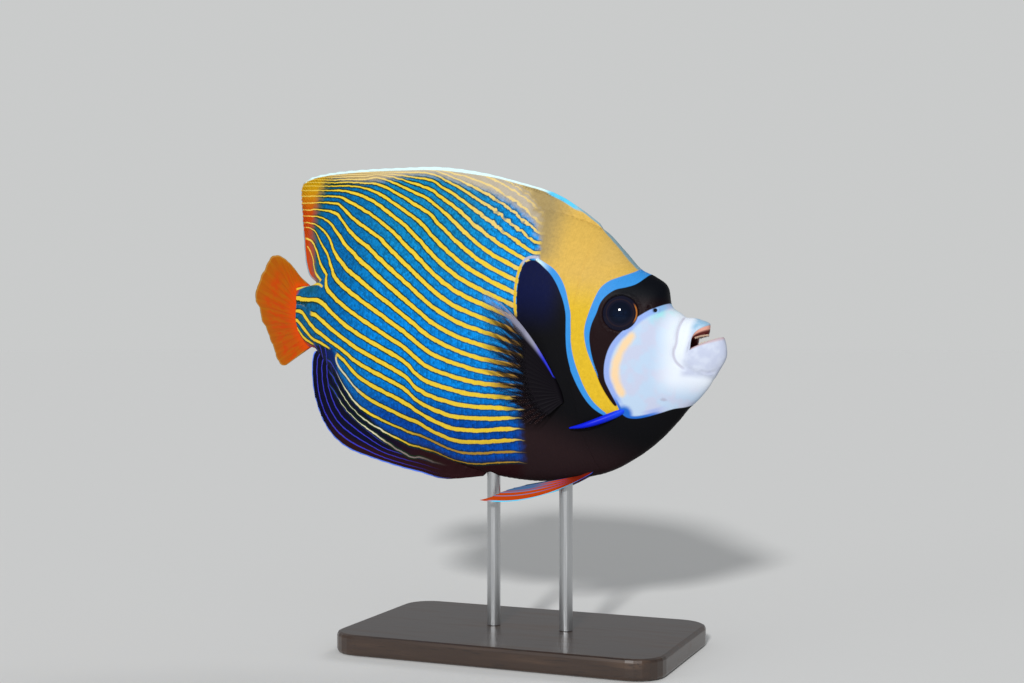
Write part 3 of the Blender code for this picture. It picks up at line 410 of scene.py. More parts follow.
class Tap:
    # wraps one output socket of a node tree, so that shader maths reads as Python
    def __init__(self, tree, socket):
        self.tree, self.socket = tree, socket

    # adds a node: its settings first, then the values or links of its sockets
    def node(self, kind, settings=None, inputs=None, out=0):
        made = self.tree.nodes.new(kind)
        for name, value in (settings or {}).items():
            setattr(made, name, value)
        for name, value in (inputs or {}).items():
            if isinstance(value, Tap):
                self.tree.links.new(value.socket, made.inputs[name])
            else:
                made.inputs[name].default_value = value
        return Tap(self.tree, made.outputs[out])

    def math(self, operation, *values):
        return self.node("ShaderNodeMath", {"operation": operation}, dict(enumerate((self,) + values)))

    def __add__(self, other):
        return self.math("ADD", other)

    def __sub__(self, other):
        return self.math("SUBTRACT", other)

    def __mul__(self, other):
        return self.math("MULTIPLY", other)

    def __truediv__(self, other):
        return self.math("DIVIDE", other)

    def __or__(self, other):            # the greater of two masks
        return self.math("MAXIMUM", other)

    def __rsub__(self, other):
        return self.node("ShaderNodeMath", {"operation": "SUBTRACT"}, {0: other, 1: self})

    __radd__, __rmul__, __ror__ = __add__, __mul__, __or__

    def __abs__(self):
        return self.math("ABSOLUTE")

    def step(self, low, high):          # smooth step up from 0 at low to 1 at high, either way round
        return self.node("ShaderNodeMapRange", {"interpolation_type": "SMOOTHSTEP"},
                         {"Value": self, "From Min": low, "From Max": high})

    def offWhole(self):                 # how far a number is from the nearest whole one
        return abs(self - self.math("ROUND"))

    def scaled(self, *scale):           # a vector times three numbers
        return self.node("ShaderNodeVectorMath", {"operation": "MULTIPLY"}, {0: self, 1: scale})

    def lighter(self, value):           # the colour times a brightness
        return self.node("ShaderNodeHueSaturation", {}, {"Color": self, "Value": value})

    def vector(self, *values):          # numbers as one vector
        return self.node("ShaderNodeCombineXYZ", {}, dict(enumerate(values)))

    def noise(self, scale, detail=2.0, rough=0.5):
        return self.node("ShaderNodeTexNoise", {}, {"Vector": self, "Scale": scale, "Detail": detail,
                                                    "Roughness": rough})

    def bump(self, strength, distance=0.0002):
        return self.node("ShaderNodeBump", {}, {"Strength": strength, "Distance": distance, "Height": self})

    def attribute(self, name):          # the vector that the points carry under a name
        return self.node("ShaderNodeAttribute", {"attribute_name": name}, {}, 1)

    def objectPlace(self):
        return self.node("ShaderNodeTexCoord", {}, {}, "Object")

    def parts(self):                    # a vector's three numbers
        split = self.node("ShaderNodeSeparateXYZ", {}, {0: self}).socket.node
        return [Tap(self.tree, socket) for socket in split.outputs]


# the first colour where the factor is 0, the second where it is 1; a colour is a tap or a paint's name
def blend(first, second, factor):
    first, second = (paint[c] + (1.0,) if isinstance(c, str) else c for c in (first, second))
    return factor.node("ShaderNodeMix", {"data_type": "RGBA"}, {0: factor, 6: first, 7: second}, 2)


def layered(colour, *layers):            # layers of colour and cover, one over the other
    for tint, cover in layers:
        colour = blend(colour, tint, cover)
    return colour


# a new material with a Principled shader: returns its tree's tap and a function that links the
# sockets and gives the material
def newMaterial(name, **fixed):
    material = bpy.data.materials.new(name)
    material.use_nodes = True
    tree = material.node_tree
    sockets = tree.nodes["Principled BSDF"].inputs
    for socket, value in fixed.items():
        sockets[socket.replace("_", " ")].default_value = value

    def feed(**links):
        for socket, tap in links.items():
            tree.links.new(tap.socket, sockets[socket.replace("_", " ")])
        return material
    return Tap(tree, None), feed


paint = {                                # linear colours
    "blueBack": (0.004, 0.19, 0.41), "blueFlank": (0.001, 0.188, 0.58), "blueBelly": (0.001, 0.055, 0.33),
    "blueFront": (0.004, 0.25, 0.66), "blueRear": (0.001, 0.092, 0.28), "blueStalk": (0.004, 0.09, 0.19),
    "teal": (0.004, 0.085, 0.10),
    "stripe": (0.71, 0.50, 0.034), "stripePale": (0.70, 0.53, 0.22), "stripeWhite": (0.60, 0.56, 0.38),
    "stripeDull": (0.20, 0.16, 0.15), "stripeBrown": (0.28, 0.13, 0.02), "stripeEdge": (0.006, 0.024, 0.008),
    "dash": (0.53, 0.24, 0.047), "gold": (0.60, 0.384, 0.081), "bar": (0.647, 0.42, 0.022),
    "tan": (0.334, 0.244, 0.099), "peach": (0.57, 0.38, 0.105), "cream": (0.47, 0.39, 0.27),
    "ochre": (0.42, 0.28, 0.07), "orange": (0.46, 0.045, 0.001), "amber": (0.49, 0.265, 0.003),
    "dark": (0.0035, 0.0035, 0.0045), "navy": (0.001, 0.0035, 0.036), "rim": (0.40, 0.40, 0.49),
    "lineBlue": (0.035, 0.253, 0.645), "lineViolet": (0.12, 0.24, 0.60),
    "mask": (0.011, 0.004, 0.005), "maskTop": (0.003, 0.0037, 0.006),
    "face": (0.445, 0.565, 0.72), "faceTop": (0.27, 0.67, 0.72), "faceWhite": (0.69, 0.74, 0.82),
    "faceWarm": (0.50, 0.52, 0.66), "faceRim": (0.20, 0.31, 0.72), "faceLow": (0.017, 0.128, 0.53),
    # foldShadeAndSmudge: painted shade for the face's folds, also the tint of the smudge low on the face
    "foldShadeAndSmudge": (0.36, 0.33, 0.43), "lipTop": (0.16, 0.39, 0.58), "lipLow": (0.43, 0.47, 0.62),
    "crescent": (0.86, 0.57, 0.25),
    "white": (0.62, 0.84, 0.86), "cyan": (0.09, 0.52, 0.80), "edgeBlue": (0.20, 0.32, 0.37),
    "analDark": (0.003, 0.003, 0.014), "analBlue": (0.0015, 0.013, 0.105), "maroon": (0.018, 0.0045, 0.006),
    "breast": (0.021, 0.0105, 0.012), "analLine": (0.035, 0.035, 0.42), "analMargin": (0.10, 0.20, 0.80),
    # mouth: the lining's red, darkened with painted shade of the cavity
    "mouth": (0.10, 0.016, 0.014), "gum": (0.82, 0.42, 0.33), "lowerGum": (0.50, 0.40, 0.44),
}


# the skin's paint, layer over layer: blue ground, pale back and orange ends, stripes, gold nape, dark
# parts, blue lines, mask, face; every edge is a distance in mm that the points carry
def fishPaint(tap):
    place = tap.attribute("flatPlace")
    x, _, z = place.parts()
    # random tone per scale, weight of the painted shade at a scale's free edge, share of the mouth's inner
    # skin
    grain, rim, inner = tap.attribute("grain").parts()
    (stripe, strength, freeStripe, dark, gold, rearBlue, maskBlue, mask, face, cream, orangeRear, orangeTail,
     analDark, dorsalMargin, analMargin, crescent, patchRim, gap, jawFold, chinFold, _) = sum(
        (tap.attribute(name).parts() for name in markSets), [])
    fine = place.noise(0.55, 3.0, 0.6)                    # about 2 mm
    wave = place.noise(0.2, 2.0)                          # about 5 mm
    wobble = (fine - 0.5) * 0.9                           # mm

    def fromSpot(atX, atZ, squash=1.0):                   # distance in mm from a point of the side
        return ((x - atX) * (x - atX) * squash + (z - atZ) * (z - atZ)).math("SQRT")

    # blue ground, darker to the rear and the belly
    ground = layered(
        blend("blueFlank", "blueBack", z.step(-20, 62)),
        ("blueFront", x.step(-30, 20) * z.step(-30, 0)),
        ("blueBelly", z.step(-34, -64)),
        ("blueRear", x.step(-62, -120) * 0.85),
        ("blueStalk", x.step(-116, -130) * z.step(20, 10) * 0.8))
    # each scale darker towards its free edge (rim): painted shade that outlines the scales
    ground = ground.lighter(1.05 + (grain - 0.5) * 0.5 + (fine - 0.5) * 0.6 - rim * 0.25)
    # anal fin and lower edge of the belly: dark, with lines that follow the fin's margin
    below = (stripe + wobble * 0.3).step(0.75, -0.35) * x.step(-118, -108)
    inAnal = (analDark + wobble * 2.0).step(-3.5, 1.5)
    night = layered(
        blend("analDark", "analBlue", stripe.step(0.4, 1.4) * x.step(-122, -108)),
        ("maroon", analMargin.step(9, 4) * x.step(-122, -100)),
        ("maroon", x.step(-75, -40)))
    lineAt = (analMargin + wobble * 0.7) / (4.8 - x.step(-98, -66) * 2.0)
    lined = inAnal * lineAt.step(0.4, 0.6)
    frontLines = lined * lineAt.step(4.9, 3.4) * x.step(-28, -80) * stripe.step(-0.7, -1.4)
    rearLines = lined * lineAt.step(4.5, 4.3) * x.step(-110, -116)
    # pale back and orange ends
    paleBack = (cream + wobble * 3.0 + (wave - 0.5) * 5.0 * x.step(-15, 5)).step(-3.5, 2.5)
    inOrange = (orangeRear + wobble * 2.0 + (wave - 0.5) * 7.0).step(-4.5, 6.0)
    ground = layered(
        ground,
        (night, inAnal | below),
        ("analLine", lineAt.offWhole().step(0.11, 0.05) * (frontLines | rearLines)),
        ("analMargin", (analMargin + wobble * 0.4).step(1.0, 0.6) * x.step(-22, -45)),
        (blend("ochre", "cream", x.step(-115, -60)), paleBack * 0.92),
        ("teal", orangeRear.step(-9.0, -1.0) * (1.0 - paleBack)),
        (blend("orange", "amber", z.step(58, 80)), inOrange),
        ("orange", (orangeTail + wobble * 2.0).step(-2.0, 2.0) * z.step(-26, -23)))
    # stripes: slightly wavy, about as wide everywhere, with a thin dark edge; they thin out on the belly
    rough = x.step(-25, 12) * z.step(44, 62)
    shift = ((wave - 0.5) * (rough * 3.0 + 1.3) + (fine - 0.5) * (rough * 1.5 + 0.5)) / gap
    away = (stripe + shift).offWhole() * gap
    nearDark = dark + wobble
    offStalk = x.step(-122, -114)
    lowRear = stripe.step(2.6, 2.2) * x.step(-84, -94) * offStalk
    half = (gap * 0.178).math("MINIMUM", 1.2) | 0.55
    for thinning in (stripe.step(2.4, 0.3) * x.step(-110, -60) * 0.62,
                     stripe.step(2.2, -1.5) * x.step(-70, -90) * 0.6,
                     lowRear * 0.42,
                     x.step(-112, -138) * z.step(14, 24) * 0.45,
                     z.step(26, 62) * 0.2,
                     nearDark.step(-8.5, -0.5) * z.step(-40, -50) * 0.7):
        half = half * (1.0 - thinning)
    toStripe = away - (half + (fine - 0.5) * 0.25)
    shown = strength * (orangeRear - z.step(40, 70) * 3.0).step(9.0, 5.5) * orangeTail.step(3.5, 1.0)
    edging = toStripe.step(1.1, 0.5) * shown * (1.0 - paleBack) * (1.0 - inOrange)
    ofStripe = toStripe.step(0.16, -0.16) * shown * (1.0 - rough * wave.step(0.56, 0.66) * 0.7)
    striped = layered(
        blend("stripe", "stripePale", paleBack | (inOrange * 0.25)),
        ("stripePale", nearDark.step(-9.0, -1.0) * 0.5),
        ("stripePale", x.step(-45, 0) * z.step(44, 62) * 0.7),
        ("stripeWhite", lowRear),
        ("stripeWhite", stripe.step(0.6, 0.4) * x.step(-60, -75) * offStalk),
        ("stripeBrown", stripe.step(2.4, 1.0) * x.step(-70, -35) * 0.75),
        ("stripeDull", stripe.step(-0.4, -0.7) * x.step(-80, -62)),
        ("analLine", stripe.step(1.6, 1.4) * x.step(-103, -108)))
    # gold nape, tan where it meets the stripes and along the back
    nape = layered(
        blend("gold", "bar", z.step(36, 10)),
        ("tan", (x + wobble * 6.0).step(46, 26) * z.step(34, 46)),
        ("peach", x.step(56, 70) * z.step(36, 44) * 0.6)).lighter(1.0 + (fine - 0.5) * 0.3)
    napeEdge = gold + x.step(26, 36) * 2.6 + (wobble * 4.0 + (wave - 0.5) * 9.0) * x.step(45, 20)
    napeEdge = napeEdge / (1.0 + x.step(42, 26) * z.step(44, 56) * 0.8)
    # dark breast and shoulder patch; below the patch its rear edge breaks up into streaks that fan out
    # from the side fin's root
    rootX, rootZ = spots["finRoot"]
    behind = rootX - x
    fanned = (z - rootZ).math("ARCTAN2", behind)
    streak = tap.vector(fanned * 22.0, behind * -0.05).noise(1.0)
    fan = tap.vector(fanned * 36.0, behind * -0.04).noise(1.0)
    soft = z.step(9, -3) * x.step(40, 30)
    streaks = ((streak - 0.48) * (5.0 + z.step(-52, -42) * 24.0)) | -2.5
    darkEdge = dark + x.step(28, 33) + soft * (streaks + wobble)
    darkEdge = darkEdge / (0.35 + soft * 1.4 + z.step(-42, -58) * 2.6)
    patch = layered(
        blend("dark", "navy", z.step(-6, 24) * x.step(50, 34)),
        ("breast", (z + x * 0.3).step(-28, -56) * 0.85))
    near = x.step(-5, 17) * x.step(27, 24) * z.step(17, 6) * z.step(-46, -34)
    # blue lines and face
    line = layered(
        blend("lineBlue", "white", x.step(38, 26) * z.step(30, 36)),
        ("lineViolet", gold.step(-1.1, -0.1) * 0.25))
    under = z + x * 0.27
    lips = (x - z * 0.12).step(116.5, 121) * z.step(19, 14) * z.step(-21, -17)
    lipTint = layered(blend("lipLow", "lipTop", z.step(2, 10)), ("faceWhite", wave.step(0.36, 0.70) * 0.35))
    pale = layered(
        blend("face", "faceTop", z.step(4, 14) * x.step(92, 104)),
        ("faceWarm", place.noise(0.09).step(0.44, 0.60) * 0.8),
        ("faceWhite", x.step(98, 114) * z.step(-34, -20)),
        ("faceLow", under.step(-11, -15) * face.step(2.0, 0.9)),
        ("faceRim", face.step(4.2, 2.2) * x.step(112, 98) * under.step(-18, -12) * 0.75),
        ("crescent", (crescent + (wave - 0.5) * 2.0).step(3.6, 0.6) * 0.8),
        # painted shade along the jaw and chin folds, and the same darker tint at the smudge low on the face
        ("foldShadeAndSmudge", jawFold.math("MINIMUM", chinFold).step(1.2, 0.2) * 0.6),
        ("foldShadeAndSmudge", (fromSpot(*spots["smudge"], 0.3) + wobble).step(1.4, 0.4) * 0.6),
        (lipTint, lips * 0.8),
        ("faceLow", (fromSpot(*spots["cheekCorner"]) + wobble).step(6.0, 2.5)))
    # dorsal margin: white, cyan in front, thin and dull down the rear edge and the nape
    edge = dorsalMargin + wobble * 0.6 - x.step(-90, -40) * x.step(-5, -30) * 0.5
    rear = x.step(-150, -154) | (z.step(76, 70) * x.step(-100, -120))
    snowy = (edge + x.step(-30, -5) * 0.3).step(1.9, 1.2) * (1.0 - rear) * x.step(44, 36) * z.step(70, 76)
    bright = x.step(20, 27) * x.step(48, 40)
    gums = blend("lowerGum", "gum", (z - (x - 119.0) * 0.35).step(0, 2))
    colour = layered(
        ground,
        ("stripeEdge", edging * (0.97 - x.step(-60, 0) * 0.35)),
        (striped, ofStripe),
        (striped, (freeStripe + z.step(20, 24) * 0.3).step(1.0, 0.5)),
        (nape, napeEdge.step(-2.6, 2.2)),
        ("dash", near * ofStripe * dark.step(3, 0) * 0.7),
        ("dark", near * (fan + near * 0.14).step(0.60, 0.68) * 0.85),
        (patch, darkEdge.step(-1.0, 1.0)),
        (blend("bar", "rim", z.step(35, 39)), (patchRim + wobble * 0.3).step(1.05, 0.65) * z.step(5, 9)),
        (line, rearBlue.step(-0.25, 0.25)),
        (blend("mask", "maskTop", z.step(16, 26)), mask.step(-1.0, -0.4)),
        (line, maskBlue.step(-0.25, 0.25)),
        (pale, face.step(-0.3, 0.3)),
        # painted shade: dark in the front nostril's pit
        ("dark", fromSpot(*nostrils[0][:2]).step(1.5, 0.8)),
        # painted shade: dark on the eye socket's sunken wall inside the lid
        ("dark", fromSpot(*eye["seen"]).step(eye["lid"] + 0.4, eye["lid"] - 0.4)),
        ("edgeBlue", edge.step(1.3, 0.6) * (rear | x.step(40, 46)) * z.step(16, 22)),
        ("white", snowy),
        ("cyan", (dorsalMargin - bright).step(1.7, 0.7) * bright),
        # inside the lips: the gums, then the mouth's red lining darkened deeper in, painted shade of the open
        # mouth
        (blend(gums, "mouth", inner.step(0.72, 1.0)), inner.step(0.05, 0.3)))
    # the skin a little darker again at each scale's free edge, painted shade, with tone that differs at
    # random from scale to scale
    return colour.lighter(1.0 - rim * 0.05 + (grain - 0.5) * 0.07), fine, lips


# the skin's material: fine grain in bump and roughness, with folds on the lips
def fishFinish():
    tap, feed = newMaterial("fishSkin", Specular_IOR_Level=0.05)
    colour, fine, lips = fishPaint(tap)
    folds = tap.attribute("flatPlace").noise(0.32, 3.0, 0.6) * lips * 2.5
    return feed(Base_Color=colour, Normal=(fine + folds).bump(0.25), Roughness=0.36 + fine * 0.16)


fishMaterial = fishFinish()
print("skin paint mixed")


# three numbers for each point, under a name that materials read
def addVectors(mesh, name, values):
    attribute = mesh.attributes.new(name, "FLOAT_VECTOR", "POINT")
    attribute.data.foreach_set("vector", np.ascontiguousarray(values, np.float32).ravel())


# a piece from points of the straight fish, whose places are kept on it for the material
def makePiece(name, flat, faces, material):
    mesh = bpy.data.meshes.new(name)
    mesh.vertices.add(len(flat))
    mesh.vertices.foreach_set("co", np.ascontiguousarray(posed(flat), np.float32).ravel())
    mesh.loops.add(faces.size)
    mesh.loops.foreach_set("vertex_index", np.ascontiguousarray(faces, np.int32).ravel())
    mesh.polygons.add(len(faces))
    mesh.polygons.foreach_set("loop_start", np.arange(0, faces.size, faces.shape[1], dtype=np.int32))
    mesh.update(calc_edges=True)
    mesh.shade_smooth()
    mesh.materials.append(material)
    addVectors(mesh, "flatPlace", flat)
    piece = bpy.data.objects.new(name, mesh)
    scene.collection.objects.link(piece)
    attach(piece, rootBody)
    return piece


def makePair(name, slot, flat, faces, material):         # a right piece and its mirror image
    return [makePiece(name + "_" + label, flat * (1, -side, 1), faces[:, ::-side], material)
            for side, label in bothSides]


# the markings' distances and three numbers more, kept on the points for the skin's material
def addMarks(mesh, flat, extra):
    addVectors(mesh, "grain", np.stack(extra, -1))
    for name, names in markSets.items():
        addVectors(mesh, name, np.stack([readField(fields[n], flat[:, 0], flat[:, 2]) for n in names], -1))


headForms = {                            # mm outwards
    "lidRidge": (0.22, 0.9), "socketDepth": 4.5, "socketWall": 1.6,
    "nostrilRidge": (0.35, 1.35, 0.35), "nostrilPit": (1.1, 1.05, 0.5),      # height, then in radii
    "folds": (("jawFold", 0.55, 0.8), ("chinFold", 0.4, 0.7), ("cheekEdge", 0.2, 0.9)),      # depth, width
}


def bell(value, width):                  # 1 in the middle, falling off as exp(-(value / width)^2)
    return np.exp(-(value / width) ** 2)


# raised and sunken forms of the head in mm: ridges are bells of the distance to their line, pits are
# smooth steps down
def relief(x, z):
    offRim = np.hypot(x - eye["seen"][0], z - eye["seen"][1]) - eye["lid"]
    height, width = headForms["lidRidge"]
    out = height * bell(offRim - width, width) - headForms["socketDepth"] * smoothStep(
        offRim, 0, -headForms["socketWall"])
    height, at, width = headForms["nostrilRidge"]
    depth, outer, inner = headForms["nostrilPit"]
    for nx, nz, radius in nostrils:
        r = np.hypot(x - nx, z - nz) / radius
        out += height * bell(r - at, width) - depth * smoothStep(r, outer, inner)
    for name, depth, width in headForms["folds"]:
        out -= depth * bell(readField(fields[name], x, z), width)
    return out


# normals of a grid of points whose rows run forwards and whose columns run up the right side
def sheetNormals(sheet):
    return unit(np.cross(np.gradient(sheet, axis=0), np.gradient(sheet, axis=1)))


# half thickness of a fin: its fleshy foot runs out and the skin thins towards the margin
def finHalf(footHalf, h, power):
    flesh = np.maximum(footHalf - fins["skinHalf"], 0)[:, None] * (1 - h) ** power
    return flesh + fins["skinHalf"] + (fins["edgeHalf"] - fins["skinHalf"]) * h


# right and left faces of a fin in the middle plane, waving more the nearer to its margin
def finSides(flat, half, sway, share, h):
    wave = sway * h ** 2 * np.sin(2 * math.pi * fins["waves"] * share)[:, None]
    return [np.stack([flat[..., 0], wave + side * half, flat[..., 1]], -1) for side in (-1, 1)]


def offRay(rayAt):                       # 0 on a ray, 1 half way between two
    return np.abs(rayAt - np.round(rayAt)) * 2


# fin on the middle plane: from the body's edge to the margin, thinning out, with each ray a ridge;
# returns the right and left faces, first row on the body's edge
def finSheets(fin, foot, footHalf, share):
    margin = alongCurve(fin["margin"], share)
    rayAt = share * (fin["rays"] - 1)
    tip = margin - (margin - foot) * (fins["notch"] * offRay(rayAt))[:, None]
    h = np.linspace(0, 1, fin["rows"])[None]
    flat = foot[:, None] + (tip - foot)[:, None] * h[..., None]
    stout = np.where(np.round(rayAt) < fin["spines"], fins["spineHalf"], fins["rayHalf"])
    ridge = (stout * bell(offRay(rayAt), fins["rayWidth"]))[:, None] * (1 - fins["rayThinning"] * h)
    half = finHalf(footHalf, h, 2.2) + ridge * smoothStep(h, 0.0, 0.12)
    return finSides(flat, half, fins["sway"], share, h)


def gridFaces(index, flip=False):        # a quad between every two rows and columns of point numbers
    quads = np.stack([index[:-1, :-1], index[1:, :-1], index[1:, 1:], index[:-1, 1:]], -1).reshape(-1, 4)
    return quads[:, ::-1] if flip else quads


# faces of a right sheet and its left twin, sewn together along every open edge
def sewnFaces(faces, count):
    a, b = np.stack([faces, np.roll(faces, -1, axis=1)], -1).reshape(-1, 2).astype(np.int64).T
    lone = ~np.isin(a * count + b, b * count + a)
    a, b = a[lone], b[lone]
    return np.concatenate([faces, faces[:, ::-1] + count, np.stack([b, a, a + count, b + count], -1)])


# one closed skin over head, jaw, trunk, tail, dorsal and anal fin: a right and a left sheet that share
# the fins' foot rows
def makeSkin():
    t = np.sin(np.linspace(-math.pi / 2, math.pi / 2, body["rowCount"]))
    start, front, gill, pitch = fins["rootStart"], fins["analFront"], body["gill"], body["ringPitch"]
    parts = [evenPlaces(0, start, pitch)[:-1], evenPlaces(start, front, pitch)[:-1],
             evenPlaces(front, gill - 1e-3, pitch),
             evenPlaces(gill, len(body["stations"]) - 1, body["headPitch"])]
    places = np.concatenate(parts)
    right = bodySheet(places, t)
    onHead = smoothStep(places, gill, gill + 0.4) * smoothStep(places, *body["reliefEnd"])
    raised = relief(right[..., 0], right[..., 2]) * onHead[:, None]
    right = right + sheetNormals(right) * raised[..., None]
    index = np.arange(right[..., 0].size).reshape(right.shape[:2])
    first, count = len(parts[0]), index.size
    sheets = {"body": right}
    faces = [gridFaces(index)]
    points = [[right.reshape(-1, 3)], [(right * (1, -1, 1)).reshape(-1, 3)]]
    for name, row, last in (("dorsal", -1, len(places) - len(parts[3])),
                            ("anal", 0, first + len(parts[1]) + 1)):
        foot = right[first:last, row]
        flatFoot = foot[:, [0, 2]]
        faceSheets = finSheets(fins[name], flatFoot, np.abs(foot[:, 1]), 1 - runAlong(flatFoot))
        sheets[name] = faceSheets[0]
        own = np.arange(len(foot) * (fins[name]["rows"] - 1)).reshape(len(foot), -1) + count
        faces.append(gridFaces(np.column_stack([index[first:last, row], own]), name == "anal"))
        count += own.size
        for side in (0, 1):
            points[side].append(faceSheets[side][:, 1:].reshape(-1, 3))
    flat = np.concatenate(points[0] + points[1])
    skin = makePiece("skin", flat, sewnFaces(np.concatenate(faces), count), fishMaterial)
    inner = np.zeros((2, count))
    inner[:, :index.size] = smoothStep(np.repeat(places, body["rowCount"]), *body["mouthFrom"])
    addMarks(skin.data, flat, (np.full(len(flat), 0.5), np.zeros(len(flat)), inner.ravel()))
    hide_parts("head", "lower_jaw", "trunk", "tail", "dorsal_fin", "anal_fin")
    print("skin:", len(flat), "points")
    return sheets, places


sheets, places = makeSkin()

coat = {
    "bodyPitch": 1.75, "headPitch": 1.35, "finPitch": 1.45,      # mm between scales
    "headTo": 16.9,                      # station number where the scales of the head end
    "columnGap": 0.82,                   # from one column of scales to the next, in pitches
    "long": 1.85, "wide": 1.46,          # a scale's length and width, in pitches
    "lie": np.array([1.0, 0.72, 0.0, -0.62, -0.8, -0.62, 0.0, 0.72]) / 2,      # its outline, tailwards
    "spread": np.array([0.0, 0.38, 0.5, 0.38, 0.0, -0.38, -0.5, -0.38]),
    "lift": 0.07, "sink": 0.09, "dome": 0.035,       # free edge above the skin, root below it, bulge, mm
    "roll": 0.07,                        # how unevenly the scales are turned
    "margin": 1.6, "bareEdge": 0.9,      # bare border of the fins and along the nape and breast, mm
    "seam": 0.1,                         # border where a fin meets the body
    "flatter": 0.45, "flatterFrom": (15, 40),        # how much lower the scales lie in front, and where
    "patch": 0.0015,                     # half of a scale's patch on the unwrap
}
random = np.random.default_rng(11)


# staggered places on a sheet: columns of scales, and in each a scale at every pitch of length from
# the starting row; gives fractional row and column, and the length
def scatter(sheet, pitch, startRow, clearLow, clearHigh):
    steps = np.linalg.norm(np.diff(sheet, axis=1), axis=2)
    length = np.concatenate([np.zeros((len(sheet), 1)), np.cumsum(steps, axis=1)], axis=1)
    length -= length[:, startRow, None]
    run = np.concatenate([[0], np.cumsum(np.linalg.norm(np.diff(sheet, axis=0), axis=2).mean(1))])
    columns = np.interp(np.arange(pitch / 2, run[-1], pitch * coat["columnGap"]), run, np.arange(len(run)))
    found = []
    for number, at in enumerate(columns):
        i = min(int(at), len(sheet) - 2)
        column = length[i] * (i + 1 - at) + length[i + 1] * (at - i)
        first, last = np.ceil(column[0] / pitch), np.floor(column[-1] / pitch)
        s = (np.arange(first, last + 1) + 0.5 * (number % 2)) * pitch
        s = s[(s > column[0] + clearLow[i]) & (s < column[-1] - clearHigh[i])]
        found.append(np.stack([np.full(len(s), at), np.interp(s, column, np.arange(len(column))), s], -1))
    return np.concatenate(found)


# a coat of scales on one side: each is a low dome of 16 triangles over an outline of 8 points, its
# root sunk into the skin and its free edge lifted; outwards is the way the scales turn to on a fin
def makeScales(name, sheet, at, pitch, size, outwards, side, raised):
    rows, columns, length = at.T
    count, lie, spread, sink = len(at), coat["lie"], coat["spread"], coat["sink"]
    normals = between(sheetNormals(sheet), rows, columns)
    normals = unit(normals * np.where(normals[:, 1:2] > 0, -1, 1))       # a hanging sheet is inside out
    seat = between(sheet, rows, columns)
    tailwards = -unit(between(np.gradient(sheet, axis=0), rows, columns))
    upwards = unit(between(np.gradient(sheet, axis=1), rows, columns))
    way = unit(tailwards * (1 - outwards)[:, None] + upwards * outwards[:, None])
    across = np.cross(normals, way)
    roll = random.normal(0, coat["roll"], count)[:, None]
    way, across = unit(way + across * roll), unit(across - way * roll)
    size = size * random.uniform(0.9, 1.06, count)
    lift = coat["lift"] * raised * np.clip(size, 0.3, 1.1) * random.uniform(0.75, 1.3, count)
    along = lie * (size * pitch * coat["long"])[:, None]
    beside = spread * (size * pitch * coat["wide"])[:, None]
    height = (lift[:, None] + sink) * ((lie + 0.4) / 0.9) - sink
    rim = (seat[:, None] + way[:, None] * along[..., None] + across[:, None] * beside[..., None]
           + normals[:, None] * height[..., None])
    top = seat + normals * (height.mean(1) + coat["dome"] * size * raised)[:, None] + way * (0.04 * pitch)
    bottom = seat - normals * (sink + 0.08)
    k = np.arange(8)
    after = (k + 1) % 8
    one = np.concatenate([np.stack([k, after, np.full(8, 8)], -1), np.stack([after, k, np.full(8, 9)], -1)])
    faces = (one + 10 * np.arange(count)[:, None, None]).reshape(-1, 3)[:, ::-side]
    flat = np.concatenate([rim, top[:, None], bottom[:, None]], axis=1).reshape(-1, 3) * (1, -side, 1)
    mesh = makePiece(name, flat, faces, fishMaterial).data
    ends = np.zeros(2 * len(mesh.edges), np.int32)
    mesh.edges.foreach_get("vertices", ends)
    mesh.edges.foreach_set("use_edge_sharp", (ends.reshape(-1, 2) % 10 < 8).all(1))      # rim edges
    grain = np.repeat(random.uniform(0, 1, count), 10)
    # weight of the painted shade along each scale's free edge, 1 at its tailward tip
    edge = np.tile(np.concatenate([np.clip(lie * 2.4, 0, 1), [0, 0]]), count)
    addMarks(mesh, flat, (grain, edge, np.zeros(len(grain))))
    root = 0.01 + 0.98 * np.stack([rows / len(sheet), (length - length.min()) / np.ptp(length)], -1)
    petal = np.concatenate([np.stack([lie, spread], -1) * 2, np.zeros((2, 2))]) * coat["patch"]
    uv = (root[:, None] + petal).reshape(-1, 2)[faces.ravel()]
    mesh.uv_layers.new(name="OFBake").data.foreach_set("uv", np.ascontiguousarray(uv, np.float32).ravel())
    return count


